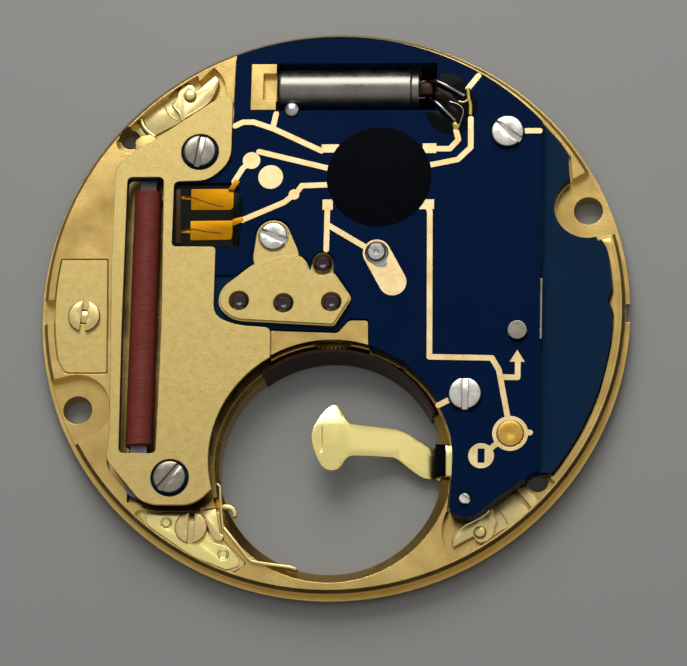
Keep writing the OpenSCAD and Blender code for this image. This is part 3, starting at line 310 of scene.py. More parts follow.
def rounded(points):
    """An outline in mm, whose corners with a third number are rounded over that reach"""
    outline = []
    for index, corner in enumerate(points):
        here = Vector(corner[:2])
        if len(corner) < 3 or corner[2] == 0:
            outline.append(here)
            continue
        before = Vector(points[index - 1][:2])
        after = Vector(points[(index + 1) % len(points)][:2])
        reach = min(corner[2], 0.48 * (before - here).length, 0.48 * (after - here).length)
        start = here + (before - here).normalized() * reach
        end = here + (after - here).normalized() * reach
        for step in range(6):
            s = step / 5
            outline.append(start.lerp(here, s).lerp(here.lerp(end, s), s))
    return outline


def named(name):
    """The piece just made, under its name"""
    piece = bpy.context.object
    piece.name = piece.data.name = name
    return piece


def face(name, outline, height=0.0):
    """A flat face: a disc whose rim is moved to the outline, in mm"""
    clear_choice()
    points = rounded(outline)
    if sum(a[0] * b[1] - b[0] * a[1] for a, b in zip(points, points[1:] + points[:1])) < 0:
        points.reverse()
    bpy.ops.mesh.primitive_circle_add(vertices=len(points), radius=MM, fill_type="NGON")
    piece = named(name)
    for vertex, point in zip(piece.data.vertices, points):
        vertex.co = (point[0] * MM, point[1] * MM, height * MM)
    return piece


def edited(piece, *steps):
    """Takes a piece through mesh steps (operator, settings), each on all of it"""
    take(piece)
    bpy.ops.object.mode_set(mode="EDIT")
    for step, settings in steps:
        bpy.ops.mesh.select_all(action="SELECT")
        step(**settings)
    bpy.ops.object.mode_set(mode="OBJECT")


def raise_face(piece, rise):
    """Extrudes a flat face upwards into a closed slab"""
    lift = {"value": (0, 0, rise * MM)}
    edited(piece, (bpy.ops.mesh.extrude_region_move, {"TRANSFORM_OT_translate": lift}),
           (bpy.ops.mesh.normals_make_consistent, {"inside": False}))


def shaped(piece, kind, **settings):
    """Adds a modifier with its settings and applies it"""
    take(piece)
    modifier = piece.modifiers.new(kind.title(), kind)
    for key, value in settings.items():
        setattr(modifier, key, value)
    bpy.ops.object.modifier_apply(modifier=modifier.name)


def cut(piece, tool):
    """Cuts one piece out of another"""
    shaped(piece, "BOOLEAN", operation="DIFFERENCE", object=tool, solver="EXACT")
    bpy.data.objects.remove(tool)


def smoothed(piece, angle):
    """Smooths the shading between faces that meet flatter than the angle"""
    take(piece)
    bpy.ops.object.shade_smooth_by_angle(angle=math.radians(angle))


def softened(piece, width, segments=3, angle=40):
    """Breaks the edges sharper than the angle, width in mm, and smooths the shading"""
    shaped(piece, "BEVEL", width=width * MM, segments=segments, limit_method="ANGLE",
           angle_limit=math.radians(angle), harden_normals=False)
    smoothed(piece, 35)
    return piece


def drum(name, centre, radius, low, high, sides=48):
    """A short upright cylinder to work on, sizes in mm"""
    clear_choice()
    bpy.ops.mesh.primitive_cylinder_add(vertices=sides, radius=radius * MM, depth=(high - low) * MM,
                                        location=(centre[0] * MM, centre[1] * MM,
                                                  (low + high) / 2 * MM))
    bpy.ops.object.transform_apply()
    return named(name)


def sheet(name, outline, low, high, edge, holes=(), segments=3):
    """Sheet with this outline between two heights, its holes (x, y, radius) and broken edges"""
    piece = face(name, outline, low)
    raise_face(piece, high - low)
    for x, y, radius in holes:
        cut(piece, drum("hole", (x, y), radius, low - 0.5, high + 0.5))
    return softened(piece, edge, segments)


def turned(name, centre, section, low=0.0, steps=40):
    """A turned piece: a closed section of (radius, height) in mm, screwed once round its centre"""
    piece = face(name, section)
    edges_only(piece)
    for vertex in piece.data.vertices:
        radius, height, _ = vertex.co
        vertex.co = (radius, 0, height + low * MM)
    shaped(piece, "SCREW", axis="Z", angle=math.tau, steps=steps, render_steps=steps,
           use_merge_vertices=True, merge_threshold=0.001 * MM)
    tidy_mesh(piece)
    move(piece, centre)
    smoothed(piece, 30)
    return piece


def edges_only(piece):
    """Takes the face out of an outline and leaves its edges"""
    edited(piece, (bpy.ops.mesh.delete, {"type": "ONLY_FACE"}))


def tidy_mesh(piece):
    """Merges doubles, drops what is loose, and points the faces outwards"""
    edited(piece, (bpy.ops.mesh.remove_doubles, {"threshold": 0.0005 * MM}),
           (bpy.ops.mesh.dissolve_degenerate, {"threshold": 0.0002 * MM}),
           (bpy.ops.mesh.delete_loose, {"use_verts": True, "use_edges": True, "use_faces": False}),
           (bpy.ops.mesh.normals_make_consistent, {"inside": False}))


def move(piece, place, height=0.0):
    """Shifts a piece in mm and keeps its origin at the world's"""
    for vertex in piece.data.vertices:
        vertex.co += Vector((place[0] * MM, place[1] * MM, height * MM))


def joined(name, *pieces):
    """Joins pieces into one"""
    take(pieces[0])
    for piece in pieces[1:]:
        piece.select_set(True)
    if len(pieces) > 1:
        bpy.ops.object.join()
    return named(name)


def twin(model):
    """A copy of a piece with its own mesh"""
    piece = model.copy()
    piece.data = model.data.copy()
    bpy.context.scene.collection.objects.link(piece)
    return piece


def copied(node, name):
    """A copy of a CAD part with its doubles merged, to be worked on in its place"""
    piece = joined(name, twin(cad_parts[node]))
    tidy_mesh(piece)
    return piece


def set_out(model, places, height=0.0):
    """Copies of a piece at places in mm; the model itself goes"""
    copies = []
    for place in places:
        copies.append(twin(model))
        move(copies[-1], place, height)
    bpy.data.objects.remove(model)
    return copies


def tube(name, points, radius, sides=12):
    """Wire of this radius through points, all in mm, with its ends closed"""
    curve = bpy.data.curves.new(name, "CURVE")
    curve.dimensions = "3D"
    curve.bevel_depth = radius * MM
    curve.bevel_resolution = sides // 4 - 1
    curve.use_fill_caps = True
    curve.resolution_u = 6
    spline = curve.splines.new("BEZIER")
    spline.bezier_points.add(len(points) - 1)
    for knot, point in zip(spline.bezier_points, points):
        knot.co = Vector(point) * MM
        knot.handle_left_type = knot.handle_right_type = "AUTO"
    piece = bpy.data.objects.new(name, curve)
    bpy.context.scene.collection.objects.link(piece)
    take(piece)
    bpy.ops.object.convert(target="MESH")
    piece = named(name)
    tidy_mesh(piece)
    smoothed(piece, 50)
    return piece


def band(points, width):
    """Outline of a ribbon of this width along points in plan, in mm"""
    left, right = [], []
    for index, point in enumerate(points):
        here = Vector(point[:2])
        ahead = (Vector(points[min(index + 1, len(points) - 1)][:2])
                 - Vector(points[max(index - 1, 0)][:2])).normalized()
        side = Vector((-ahead.y, ahead.x)) * width / 2
        left.append(tuple(here + side))
        right.append(tuple(here - side))
    return left + right[::-1]


def finish_piece(piece, material, body="frame", replaces=None):
    """Gives a piece its finish and the body that it moves with"""
    clear_choice()
    piece.data.materials.clear()
    piece.data.materials.append(bpy.data.materials[material])
    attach(piece, body)
    if replaces:
        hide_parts(replaces)


class MOVEMENT_OT_coil(bpy.types.Operator):
    """Winds the drive coil, turn beside turn, on its bobbin round the core"""
    bl_idname = "movement.coil"
    bl_label = "Coil"

    def execute(self, context):
        sizes = context.scene.movement_sizes
        # middle of the winding, its length, its outer radius, and how far each turn bulges
        middle, length, reach, bulge = Vector((-8.34, -0.5, 1.45)), 11.7, 0.6, 0.02
        # wire drawn 0.1 mm wide, a few times its real size, so that the turns show in the render
        pitch = sizes.wire_pitch / MM
        turns = round(length / pitch)
        wire = face("coil", [(reach - bulge + bulge * math.cos(a), 0.52 * pitch * math.sin(a))
                             for a in [math.tau * k / 8 for k in range(8)]])
        edges_only(wire)
        shaped(wire, "SCREW", axis="Y", angle=math.tau, screw_offset=pitch * MM,
               iterations=turns - 1, steps=28, render_steps=28)
        edited(wire, (bpy.ops.mesh.fill_holes, {"sides": 0}),
               (bpy.ops.mesh.normals_make_consistent, {"inside": False}))
        # hand-fed turns lie a little unevenly
        for vertex in wire.data.vertices:
            x, y, z = vertex.co / MM
            turn = y / pitch
            lie = (1 + 0.006 * math.sin(1.9 * turn) * math.sin(0.31 * turn + 1)
                   - 0.01 * abs(math.sin(0.13 * turn)))
            slip = (0.05 * pitch * math.sin(0.7 * turn + 0.4)
                    + 0.03 * math.sin(2.3 * math.atan2(z, x)))
            vertex.co = Vector((x * lie, min(max(y + slip, 0.02), length - 0.1), z * lie)) * MM
        bpy.ops.object.shade_smooth()
        clear_choice()
        bpy.ops.mesh.primitive_cylinder_add(vertices=48, radius=(reach - 0.022) * MM,
                                            depth=(length - 0.04) * MM,
                                            rotation=(math.pi / 2, 0, 0))
        bobbin = context.object
        bpy.ops.object.transform_apply(rotation=True)
        softened(bobbin, 0.06)
        move(bobbin, (0, length / 2))
        coil = joined("coil", wire, bobbin)
        for vertex in coil.data.vertices:
            vertex.co += Vector((middle.x, middle.y - length / 2, middle.z)) * MM
        finish_piece(coil, "enamelled copper wire", replaces="coil_winding")
        return {"FINISHED"}


class MOVEMENT_OT_strap(bpy.types.Operator):
    """Bends the battery strap from one flat blank: spearhead, slope, foot, wall and root"""
    bl_idname = "movement.strap"
    bl_label = "Battery strap"

    def execute(self, context):
        # the strap's top seen from the side: distance to the right and height, in mm
        side = rounded([
            (-0.8, 1.645), (0.7, 1.5, 0.5), (2.8, 0.8, 0.9), (4.54, 0.4, 0.12), (4.68, 0.15, 0.02),
            (4.76, 0.15, 0.02), (4.76, 1.07, 0.08), (6.42, 1.07)])
        run = [0.0]
        for before, here in zip(side, side[1:]):
            run.append(run[-1] + (here - before).length)

        def unrolled(x):
            """Length along the strap at a distance to the right, left of its foot"""
            for index in range(len(side) - 1):
                if side[index].x <= x <= side[index + 1].x and side[index].x < side[index + 1].x:
                    part = (x - side[index].x) / (side[index + 1].x - side[index].x)
                    return run[index] + part * (run[index + 1] - run[index])
            return run[-1]

        plan = [
            (-0.79, -5.82), (-0.68, -5.42), (-0.43, -4.96), (-0.2, -4.64), (0.05, -4.43),
            (0.2, -4.41), (0.34, -4.49), (0.57, -4.77), (0.74, -5.1), (0.88, -5.25), (1.81, -5.28),
            (2.83, -5.32), (3.13, -5.41), (3.46, -5.56), (4.09, -5.9), (4.34, -6.08), (9, -6.17),
            (9, -7.48), (4.32, -7.48), (4.1, -7.46), (3.91, -7.38), (3.56, -7.15), (2.97, -6.7),
            (2.76, -6.61), (1.84, -6.63), (1.02, -6.68), (0.84, -6.74), (0.7, -6.9), (0.56, -7.14),
            (0.38, -7.32), (0.12, -7.38), (-0.12, -7.33), (-0.32, -7.18), (-0.5, -6.86),
            (-0.65, -6.5), (-0.76, -6.12)]
        strap = face("battery_strap", [(unrolled(x), y) for x, y in plan])
        # lines across the blank at its folds and every quarter millimetre, and lines along it
        cuts = [(u, 0, 1, 0) for u in run[1:-1]] + [(0.25 * k, 0, 1, 0) for k in range(1, 30)]
        cuts += [(0, y, 0, 1)
                 for y in (-5.0, -5.22, -5.28, -5.34, -5.7, -6.1, -6.67, -6.73, -6.79, -7.1)]
        edited(strap, *[(bpy.ops.mesh.bisect, {"plane_co": (x * MM, y * MM, 0),
                                               "plane_no": (across, along, 0)})
                        for x, y, across, along in cuts])
        for vertex in strap.data.vertices:
            u, y, _ = vertex.co / MM
            index = max(k for k in range(len(run) - 1) if run[k] <= u + 1e-6)
            part = (u - run[index]) / (run[index + 1] - run[index])
            point = side[index].lerp(side[index + 1], part)
            # the two wings are folded down past their creases
            wing = max(0, y + 5.28, -6.73 - y) if point.x < 1 else 0
            vertex.co = Vector((point.x, y, point.y - 0.14 * wing)) * MM
        shaped(strap, "SOLIDIFY", thickness=0.12 * MM, offset=-1, use_even_offset=True)
        cut(strap, sheet("line", [
            (-0.35, -5.41), (-0.31, -5.41), (-0.3, -6.54), (-0.34, -6.54)], 1.57, 1.8, 0.005))
        softened(strap, 0.022, 2, 50)
        finish_piece(strap, "gold-plated spring bronze", replaces="cell_strap")
        # black block over the strap's root and wall: painted shade where the strap drops into the
        # shadowed gap
        root_shade_block = sheet("strap_root_shade_block", [
            (4.6, -6.12, 0.05), (5.04, -6.14), (5.06, -7.52), (4.64, -7.54, 0.05)], 1.09, 1.3, 0.03)
        finish_piece(root_shade_block, "black potting resin")
        # thin black sheet on the strap's steep dive, from its heel up to the root block: painted
        # shade
        film = sheet("strap_dive_shade", [
            (4.49, -6.13), (4.77, -6.13), (4.77, -7.53), (4.49, -7.53)], 0.42, 0.45, 0.005)
        for vertex in film.data.vertices:
            vertex.co.z += (vertex.co.x - 4.49 * MM) * 2.4
        finish_piece(film, "black potting resin")
        return {"FINISHED"}


class MOVEMENT_OT_crystal_end(bpy.types.Operator):
    """Bends the crystal's two leads to the board, with their insulator, varnish and solder"""
    bl_idname = "movement.crystal_end"
    bl_label = "Crystal leads"

    def execute(self, context):
        leads = joined(
            "crystal_wires",
            tube("lead", [
                (3.6, 10.4, 1.55), (4.0, 10.46, 1.66), (4.22, 10.34, 2.05), (4.5, 10.18, 2.28),
                (5.66, 9.54, 2.24)], 0.085),
            tube("lead", [
                (3.6, 9.68, 1.55), (3.98, 9.64, 1.66), (4.2, 9.44, 2.05), (4.44, 9.2, 2.28),
                (5.27, 8.38, 2.24)], 0.085),
            tube("loop", [
                (4.55, 9.7, 2.1), (4.99, 9.3, 2.22), (5.37, 9.14, 2.24), (5.6, 8.9, 2.24),
                (5.5, 8.34, 2.22), (5.39, 7.98, 2.19)], 0.035, 8))
        finish_piece(leads, "tinned lead wire", replaces="crystal_leads")
        # glass-filled end of the can between the two leads
        bead = sheet("crystal_bead", [
            (3.58, 10.34), (4.22, 10.36, 0.1), (4.24, 9.79, 0.1), (3.58, 9.78)], 1.25, 1.78, 0.06)
        finish_piece(bead, "amber phenolic")
        # black sheet in the board's window past the can: painted shade of the deep recess
        recess_shade = sheet("crystal_recess_shade", [
            (3.63, 11.3), (4.44, 11.3), (4.46, 9.2), (3.63, 9.2)], 0.86, 1.1, 0.03)
        finish_piece(recess_shade, "black potting resin")
        varnish_drop = sheet("crystal_varnish", [
            (4.52, 10.6, 0.1), (5.11, 10.66, 0.3), (5.6, 10.38, 0.2), (5.78, 9.9, 0.2),
            (6.25, 9.38, 0.2), (6.28, 8.99, 0.2), (5.96, 8.2, 0.2), (5.52, 7.82, 0.2),
            (5.01, 7.78, 0.2), (4.56, 7.9, 0.3), (4.12, 8.3, 0.3), (3.9, 8.86, 0.1),
            (4.52, 8.88, 0.05)], 2.1, 2.172, 0.02)
        finish_piece(varnish_drop, "bottle-green varnish")
        amber = joined("flux_amber",
                       pool((4.95, 9.45), 0.82, 0.33, 2.26, -36),
                       pool((5.2, 8.8), 0.62, 0.27, 2.24, -58))
        finish_piece(amber, "burnt flux")
        solder = joined("crystal_solder",
                        ridge("seam", [
                            (5.8, 9.9), (5.84, 9.5), (5.92, 9.15), (5.93, 8.66)], 0.11, 2.18, 0.6),
                        ridge("seam", [(5.4, 9.3), (5.62, 9.26), (5.86, 9.42)], 0.06, 2.19, 0.8),
                        pool((5.28, 8.2), 0.26, 0.16, 2.22, -70))
        finish_piece(solder, "gilt-stained solder")
        return {"FINISHED"}


def pool(place, length, width, top, turn):
    """A small frozen pool: a sphere flattened, drawn out and turned, sizes in mm and degrees"""
    clear_choice()
    bpy.ops.mesh.primitive_ico_sphere_add(subdivisions=4, radius=MM)
    drop = bpy.context.object
    angle = math.radians(turn)
    for vertex in drop.data.vertices:
        x, y, z = vertex.co / MM
        around = math.atan2(y, x)
        swell = 1 + 0.1 * math.sin(3 * around + turn) + 0.06 * math.sin(5 * around)
        x, y = x * length * swell, y * width * swell
        z = BOARD_TOP + (top - BOARD_TOP) * max(z, -0.2)
        vertex.co = Vector((place[0] + x * math.cos(angle) - y * math.sin(angle),
                            place[1] + x * math.sin(angle) + y * math.cos(angle), z)) * MM
    bpy.ops.object.shade_smooth()
    return drop


class MOVEMENT_OT_terminals(bpy.types.Operator):
    """Lays the coil's two solder pads with their necks, the wire ends and the varnish round them"""
    bl_idname = "movement.terminals"
    bl_label = "Coil terminals"

    def execute(self, context):
        # underside, top and broken edge of the pads, of their necks and of the wires' first tins
        pad, neck, end = (2.03, 2.07, 0.012), (2.06, 2.185, 0.01), (2.03, 2.06, 0.01)
        pads = joined(
            "terminal_pads",
            sheet("pad", [
                (-6.38, 5.3, 0.06), (-4.74, 5.3), (-4.5, 5.5), (-4.46, 5.3), (-4.46, 4.44, 0.14),
                (-4.6, 4.32, 0.05), (-6.35, 4.32, 0.06)], *pad),
            sheet("pad", [
                (-6.37, 3.82, 0.06), (-4.3, 3.84), (-4.28, 3.62), (-4.44, 3.5), (-4.5, 2.95, 0.12),
                (-6.34, 2.92, 0.06)], *pad),
            sheet("neck", [(-4.72, 5.24), (-4.42, 5.72), (-4.2, 5.6), (-4.46, 5.2)], *neck),
            sheet("neck", [
                (-4.48, 3.86), (-4.06, 3.98), (-3.98, 3.78), (-4.22, 3.64), (-4.48, 3.54)], *neck),
            sheet("end", [(-6.8, 4.96), (-6.36, 4.93), (-6.36, 4.8), (-6.77, 4.82)], *end),
            sheet("end", [(-6.82, 3.38), (-6.35, 3.38), (-6.35, 3.24), (-6.82, 3.27)], *end))
        finish_piece(pads, "plated terminal gold", replaces="coil_terminal_pads")
        ends = joined("coil_wire_ends",
                      tube("end", [
                          (-6.7, 4.9, 2.08), (-6.36, 4.91, 2.085), (-5.87, 4.75, 2.08),
                          (-5.3, 4.56, 2.08), (-4.91, 4.47, 2.075)], 0.02, 8),
                      tube("end", [
                          (-6.75, 3.33, 2.08), (-6.35, 3.44, 2.085), (-5.67, 3.33, 2.08),
                          (-4.95, 3.26, 2.075)], 0.02, 8))
        finish_piece(ends, "enamelled copper wire")
        strip = sheet("terminal_edge", [
            (-7.05, 5.3), (-6.82, 5.3), (-6.74, 2.78), (-6.97, 2.78)], 2.03, 2.1, 0.02)
        finish_piece(strip, "amber phenolic")
        lacquer = sheet("terminal_lacquer", [
            (-4.46, 5.12), (-4.2, 5.04, 0.1), (-4.06, 4.78, 0.1), (-4.03, 4.23), (-4.07, 3.83),
            (-4.12, 3.12, 0.1), (-4.27, 2.82, 0.1), (-4.46, 2.75)], 2.1, 2.165, 0.012)
        finish_piece(lacquer, "bottle-green varnish")
        return {"FINISHED"}


def arc(radius, start, end, steps=40, swell=None):
    """Points of an arc round the movement's middle, angles in degrees; swell changes the radius"""
    points = []
    for k in range(steps + 1):
        angle = start + (end - start) * k / steps
        reach = radius - (swell(angle) if swell else 0)
        bearing = math.radians(angle)
        points.append((reach * math.cos(bearing), reach * math.sin(bearing)))
    return points


class MOVEMENT_OT_rim(bpy.types.Operator):
    """Steps the carrier down at the stem's side and lays the plate's gilt land along it"""
    bl_idname = "movement.rim"
    bl_label = "Rim at the stem"

    def execute(self, context):
        carrier = copied("module_carrier", "moulded_carrier")
        cut(carrier, sheet("step", [
            (9.13, -8.8), (13.2, -8.8), (13.2, 9.2), (9.13, 9.2)], 1.7, 3, 0.01))

        def swell(angle):
            """The land widens by the stem and by the case screw's ear"""
            return (0.2 * math.exp(-((angle - 1.5) / 1.6) ** 2)
                    + 0.3 * math.exp(-((angle - 17.5) / 3) ** 2))

        inner = arc(12.25, -39, 15.5, 60, swell)
        cut(carrier, sheet("trim", inner + arc(13.2, -39, 15.5)[::-1], 0.5, 3, 0.002))
        take(carrier)
        bpy.ops.object.shade_flat()
        finish_piece(carrier, "moulded blue plastic", replaces="module_carrier")
        land = sheet("rim_land", arc(12.28, -38.5, 15, 60, swell) + arc(12.56, -38.5, 15)[::-1],
                     0.96, 1.356, 0.012)
        finish_piece(land, "gold-plated satin brass")
        return {"FINISHED"}


class MOVEMENT_OT_rivet(bpy.types.Operator):
    """Turns the domed contact rivet in the board's ring pad"""
    bl_idname = "movement.rivet"
    bl_label = "Contact rivet"

    def execute(self, context):
        rivet = turned("rivet_head", (7.89, -5.88), [
            (0.0, 1.25), (0.27, 1.25), (0.27, 2.04), (0.58, 2.04), (0.58, 2.19), (0.555, 2.225),
            (0.45, 2.24), (0.25, 2.235), (0.12, 2.22), (0.0, 2.215)], steps=56)
        finish_piece(rivet, "plated rivet gold", replaces="contact_rivet")
        return {"FINISHED"}


class MOVEMENT_OT_plate_seats(bpy.types.Operator):
    """Sinks the two screw seats into the coil plate and lays the washer on the core's end"""
    bl_idname = "movement.plate_seats"
    bl_label = "Coil plate"

    def execute(self, context):
        plate = copied("coil_plate", "coil_cover_plate")
        # each head stands in a sunk seat with a deep relief round it
        boss, seat = 0.67, 0.84
        for place in COIL_SCREWS:
            cut(plate, drum("seat", place, seat, 2.165, 3, 64))
            cut(plate, turned("relief", place, [(boss, 2), (seat, 2), (seat, 3), (boss, 3)],
                              steps=64))
        take(plate)
        bpy.ops.object.shade_flat()
        finish_piece(plate, "gold-plated frosted brass", replaces="coil_plate")
        # gilt washer on the core's end, seen past the coil plate's corner
        lip = sheet("core_lip", [
            (-8.98, 7.0, 0.1), (-8.1, 7.0, 0.1), (-8.05, 7.8, 0.1), (-8.34, 7.98), (-8.72, 7.92),
            (-9.0, 7.7, 0.1)], 1.61, 1.69, 0.02)
        finish_piece(lip, "gold-plated frosted brass")
        return {"FINISHED"}


class MOVEMENT_OT_jewels(bpy.types.Operator):
    """Turns the bridge's four jewels, each with its oil sink and hole"""
    bl_idname = "movement.jewels"
    bl_label = "Bridge jewels"

    def execute(self, context):
        jewel = turned("jewel", (0, 0), [
            (0.0, 0.02), (0.31, 0.02), (0.31, 0.26), (0.285, 0.285), (0.2, 0.29), (0.13, 0.27),
            (0.0, 0.265)], steps=32)
        places, seat = [(-4.06, 0.06), (-2.1, -0.05), (0.0, 0.0), (-0.43, 1.78)], 2.05
        copies = set_out(jewel, places, seat)
        # each seat is a steep polished sink, which shows dark from above: its dark colour is a
        # painted reflection
        wall = [(0.315, 0.285), (0.445, 0.352), (0.445, 0.3), (0.315, 0.25)]
        sinks = [turned("sink", place, wall, seat) for place in places]
        finish_piece(joined("jewel_sinks_painted_dark", *sinks), "jewel sink painted dark")
        jewels = joined("bridge_jewel_stones", *copies)
        finish_piece(jewels, "synthetic ruby", replaces="bridge_jewels")
        return {"FINISHED"}


class MOVEMENT_OT_solder(bpy.types.Operator):
    """Adds the solder round the post, on its pad and on the crystal's can"""
    bl_idname = "movement.solder"
    bl_label = "Solder"

    def execute(self, context):
        post = turned("solder_post", (1.92, 2.3), [
            (0.0, 0.0), (0.56, 0.0), (0.5, 0.05), (0.41, 0.09), (0.385, 0.19), (0.35, 0.22),
            (0.12, 0.22), (0.08, 0.19), (0.0, 0.19)], low=BOARD_TOP, steps=36)
        blob = turned("can_solder", (-2.0, 8.95), [
            (0.0, 0.0), (0.34, 0.0), (0.3, 0.08), (0.16, 0.15),
            (0.0, 0.17)], low=BOARD_TOP, steps=32)
        joint = joined("solder_drops", post, blob, pool((1.98, 2.1), 0.62, 0.5, 2.2, -55))
        finish_piece(joint, "tin solder", replaces="solder_joints")
        return {"FINISHED"}


def ridge(name, points, radius, height, rise):
    """A bead along points in plan, its middle at a height in mm, its own height scaled by rise"""
    bead = tube(name, [(x, y, 0) for x, y in points], radius)
    for vertex in bead.data.vertices:
        vertex.co.z = vertex.co.z * rise + height * MM
    return bead


class MOVEMENT_OT_fasteners(bpy.types.Operator):
    """Stamps the two dial fasteners, beaked levers with rolled shoulders, and their sheets"""
    bl_idname = "movement.fasteners"
    bl_label = "Dial fasteners"

    def execute(self, context):
        low = 0.97
        # side, pin, outline, shoulder and hook of each lever
        levers = (
            ("upper", FASTENER_PINS[0],
             [(-5.58, 10.92), (-5.43, 10.74, 0.05), (-5.41, 10.53, 0.05), (-5.53, 10.17),
              (-5.82, 9.6), (-5.97, 9.44), (-6.43, 9.13), (-7.01, 8.76, 0.05), (-7.12, 8.85),
              (-7.1, 8.97), (-7.24, 9.2), (-7.42, 9.4), (-7.52, 9.56, 0.04), (-7.39, 9.71),
              (-7.26, 9.85), (-7.22, 10.17), (-7.05, 10.42), (-6.82, 10.52), (-6.59, 10.48),
              (-6.49, 10.37), (-6.42, 10.15, 0.05), (-6.05, 10.51)],
             [(-5.46, 10.62), (-5.58, 10.2), (-5.86, 9.66), (-6.03, 9.5), (-6.46, 9.2),
              (-6.9, 8.93)],
             [(-7.05, 8.93), (-7.16, 9.2), (-7.36, 9.42), (-7.42, 9.56), (-7.3, 9.74)]),
            ("lower", FASTENER_PINS[1],
             [(5.45, -10.69, 0.04), (5.37, -10.5, 0.06), (5.45, -10.2), (5.73, -9.77), (6.3, -9.45),
              (6.82, -9.16), (7.05, -8.92, 0.05), (7.16, -9.05), (7.19, -9.25), (7.36, -9.56, 0.04),
              (7.24, -9.87), (7.17, -10.17), (6.94, -10.42), (6.61, -10.5), (6.42, -10.4),
              (6.32, -10.2, 0.05), (5.95, -10.4)],
             [(5.43, -10.55), (5.5, -10.22), (5.78, -9.84), (6.3, -9.53), (6.78, -9.24),
              (7.0, -9.03)],
             [(7.06, -8.98), (7.14, -9.25), (7.3, -9.56), (7.2, -9.85)]))
        for side, pin, outline, shoulder, hook in levers:
            lever = joined("fastener_lever_" + side,
                           sheet("lever", outline, low, low + 0.2, 0.045, [(*pin, 0.265)]),
                           ridge("shoulder", shoulder, 0.05, low + 0.185, 0.8),
                           ridge("hook", hook, 0.03, low + 0.185, 0.8))
            finish_piece(lever, "gold-plated pressed steel", "fastener_" + side,
                         "dial_fastener_" + side)
        # underside, top and broken edge of the bent sheets and of the thin steps at their ends
        bent, step = (0.86, 0.95, 0.02), (0.86, 0.92, 0.02)
        sheets = [
            sheet("sheet", [
                (-6.4, 10.26, 0.2), (-6.2, 9.4, 0.2), (-7.1, 8.79), (-8.14, 8.22), (-8.42, 8.3),
                (-8.68, 8.68), (-8.8, 8.98, 0.05), (-7.99, 9.94), (-7.6, 9.98),
                (-6.9, 10.3, 0.1)], *bent, [(*FASTENER_PINS[0], 0.25)]),
            ridge("fold", [
                (-7.86, 9.73), (-7.78, 9.45), (-7.58, 9.12), (-7.22, 8.89)], 0.03, 0.945, 0.9),
            ridge("roll", [
                (-8.87, 8.93), (-8.76, 8.62), (-8.52, 8.32), (-8.22, 8.08)], 0.15, 1.0, 0.9),
            sheet("step", [
                (-8.86, 8.93), (-8.72, 8.72), (-8.62, 8.42), (-8.41, 8.18), (-8.16, 8.05),
                (-8.26, 7.9), (-8.6, 7.96), (-8.88, 8.24), (-9.02, 8.46), (-8.98, 8.79)], *step),
            sheet("sheet", [
                (6.3, -10.32, 0.2), (6.1, -9.5, 0.2), (7.17, -8.75), (7.72, -8.33),
                (8.06, -8.22, 0.05), (8.29, -8.55), (8.66, -8.9), (8.67, -9.21, 0.05),
                (8.11, -9.62), (7.52, -9.9),
                (6.9, -10.3, 0.1)], *bent, [(*FASTENER_PINS[1], 0.25)]),
            ridge("fold", [(7.34, -9.02), (7.62, -9.3), (7.78, -9.62)], 0.03, 0.945, 0.9),
            sheet("roll", [
                (8.11, -8.06, 0.05), (8.45, -8.0, 0.05), (8.9, -8.3), (9.08, -8.6, 0.1),
                (9.0, -8.85, 0.05), (8.8, -8.95, 0.05), (8.68, -8.75), (8.29, -8.29)],
                0.93, 1.13, 0.07, segments=4),
            sheet("step", [
                (8.14, -8.16), (8.4, -8.02), (8.58, -8.09), (8.94, -8.46), (9.0, -8.8),
                (8.88, -9.12), (8.7, -8.76), (8.46, -8.46)], *step)]
        springs = joined("fastener_springs", *sheets)
        finish_piece(springs, "gold-plated pressed steel", replaces="foot_clips")
        pin = turned("pin", (0, 0), [
            (0.0, 0.5), (0.24, 0.5), (0.24, 1.3), (0.225, 1.345), (0.16, 1.37),
            (0.0, 1.365)], steps=32)
        studs = joined("fastener_studs", *set_out(pin, FASTENER_PINS))
        finish_piece(studs, "gold-plated pressed steel", replaces="fastener_pins")
        return {"FINISHED"}


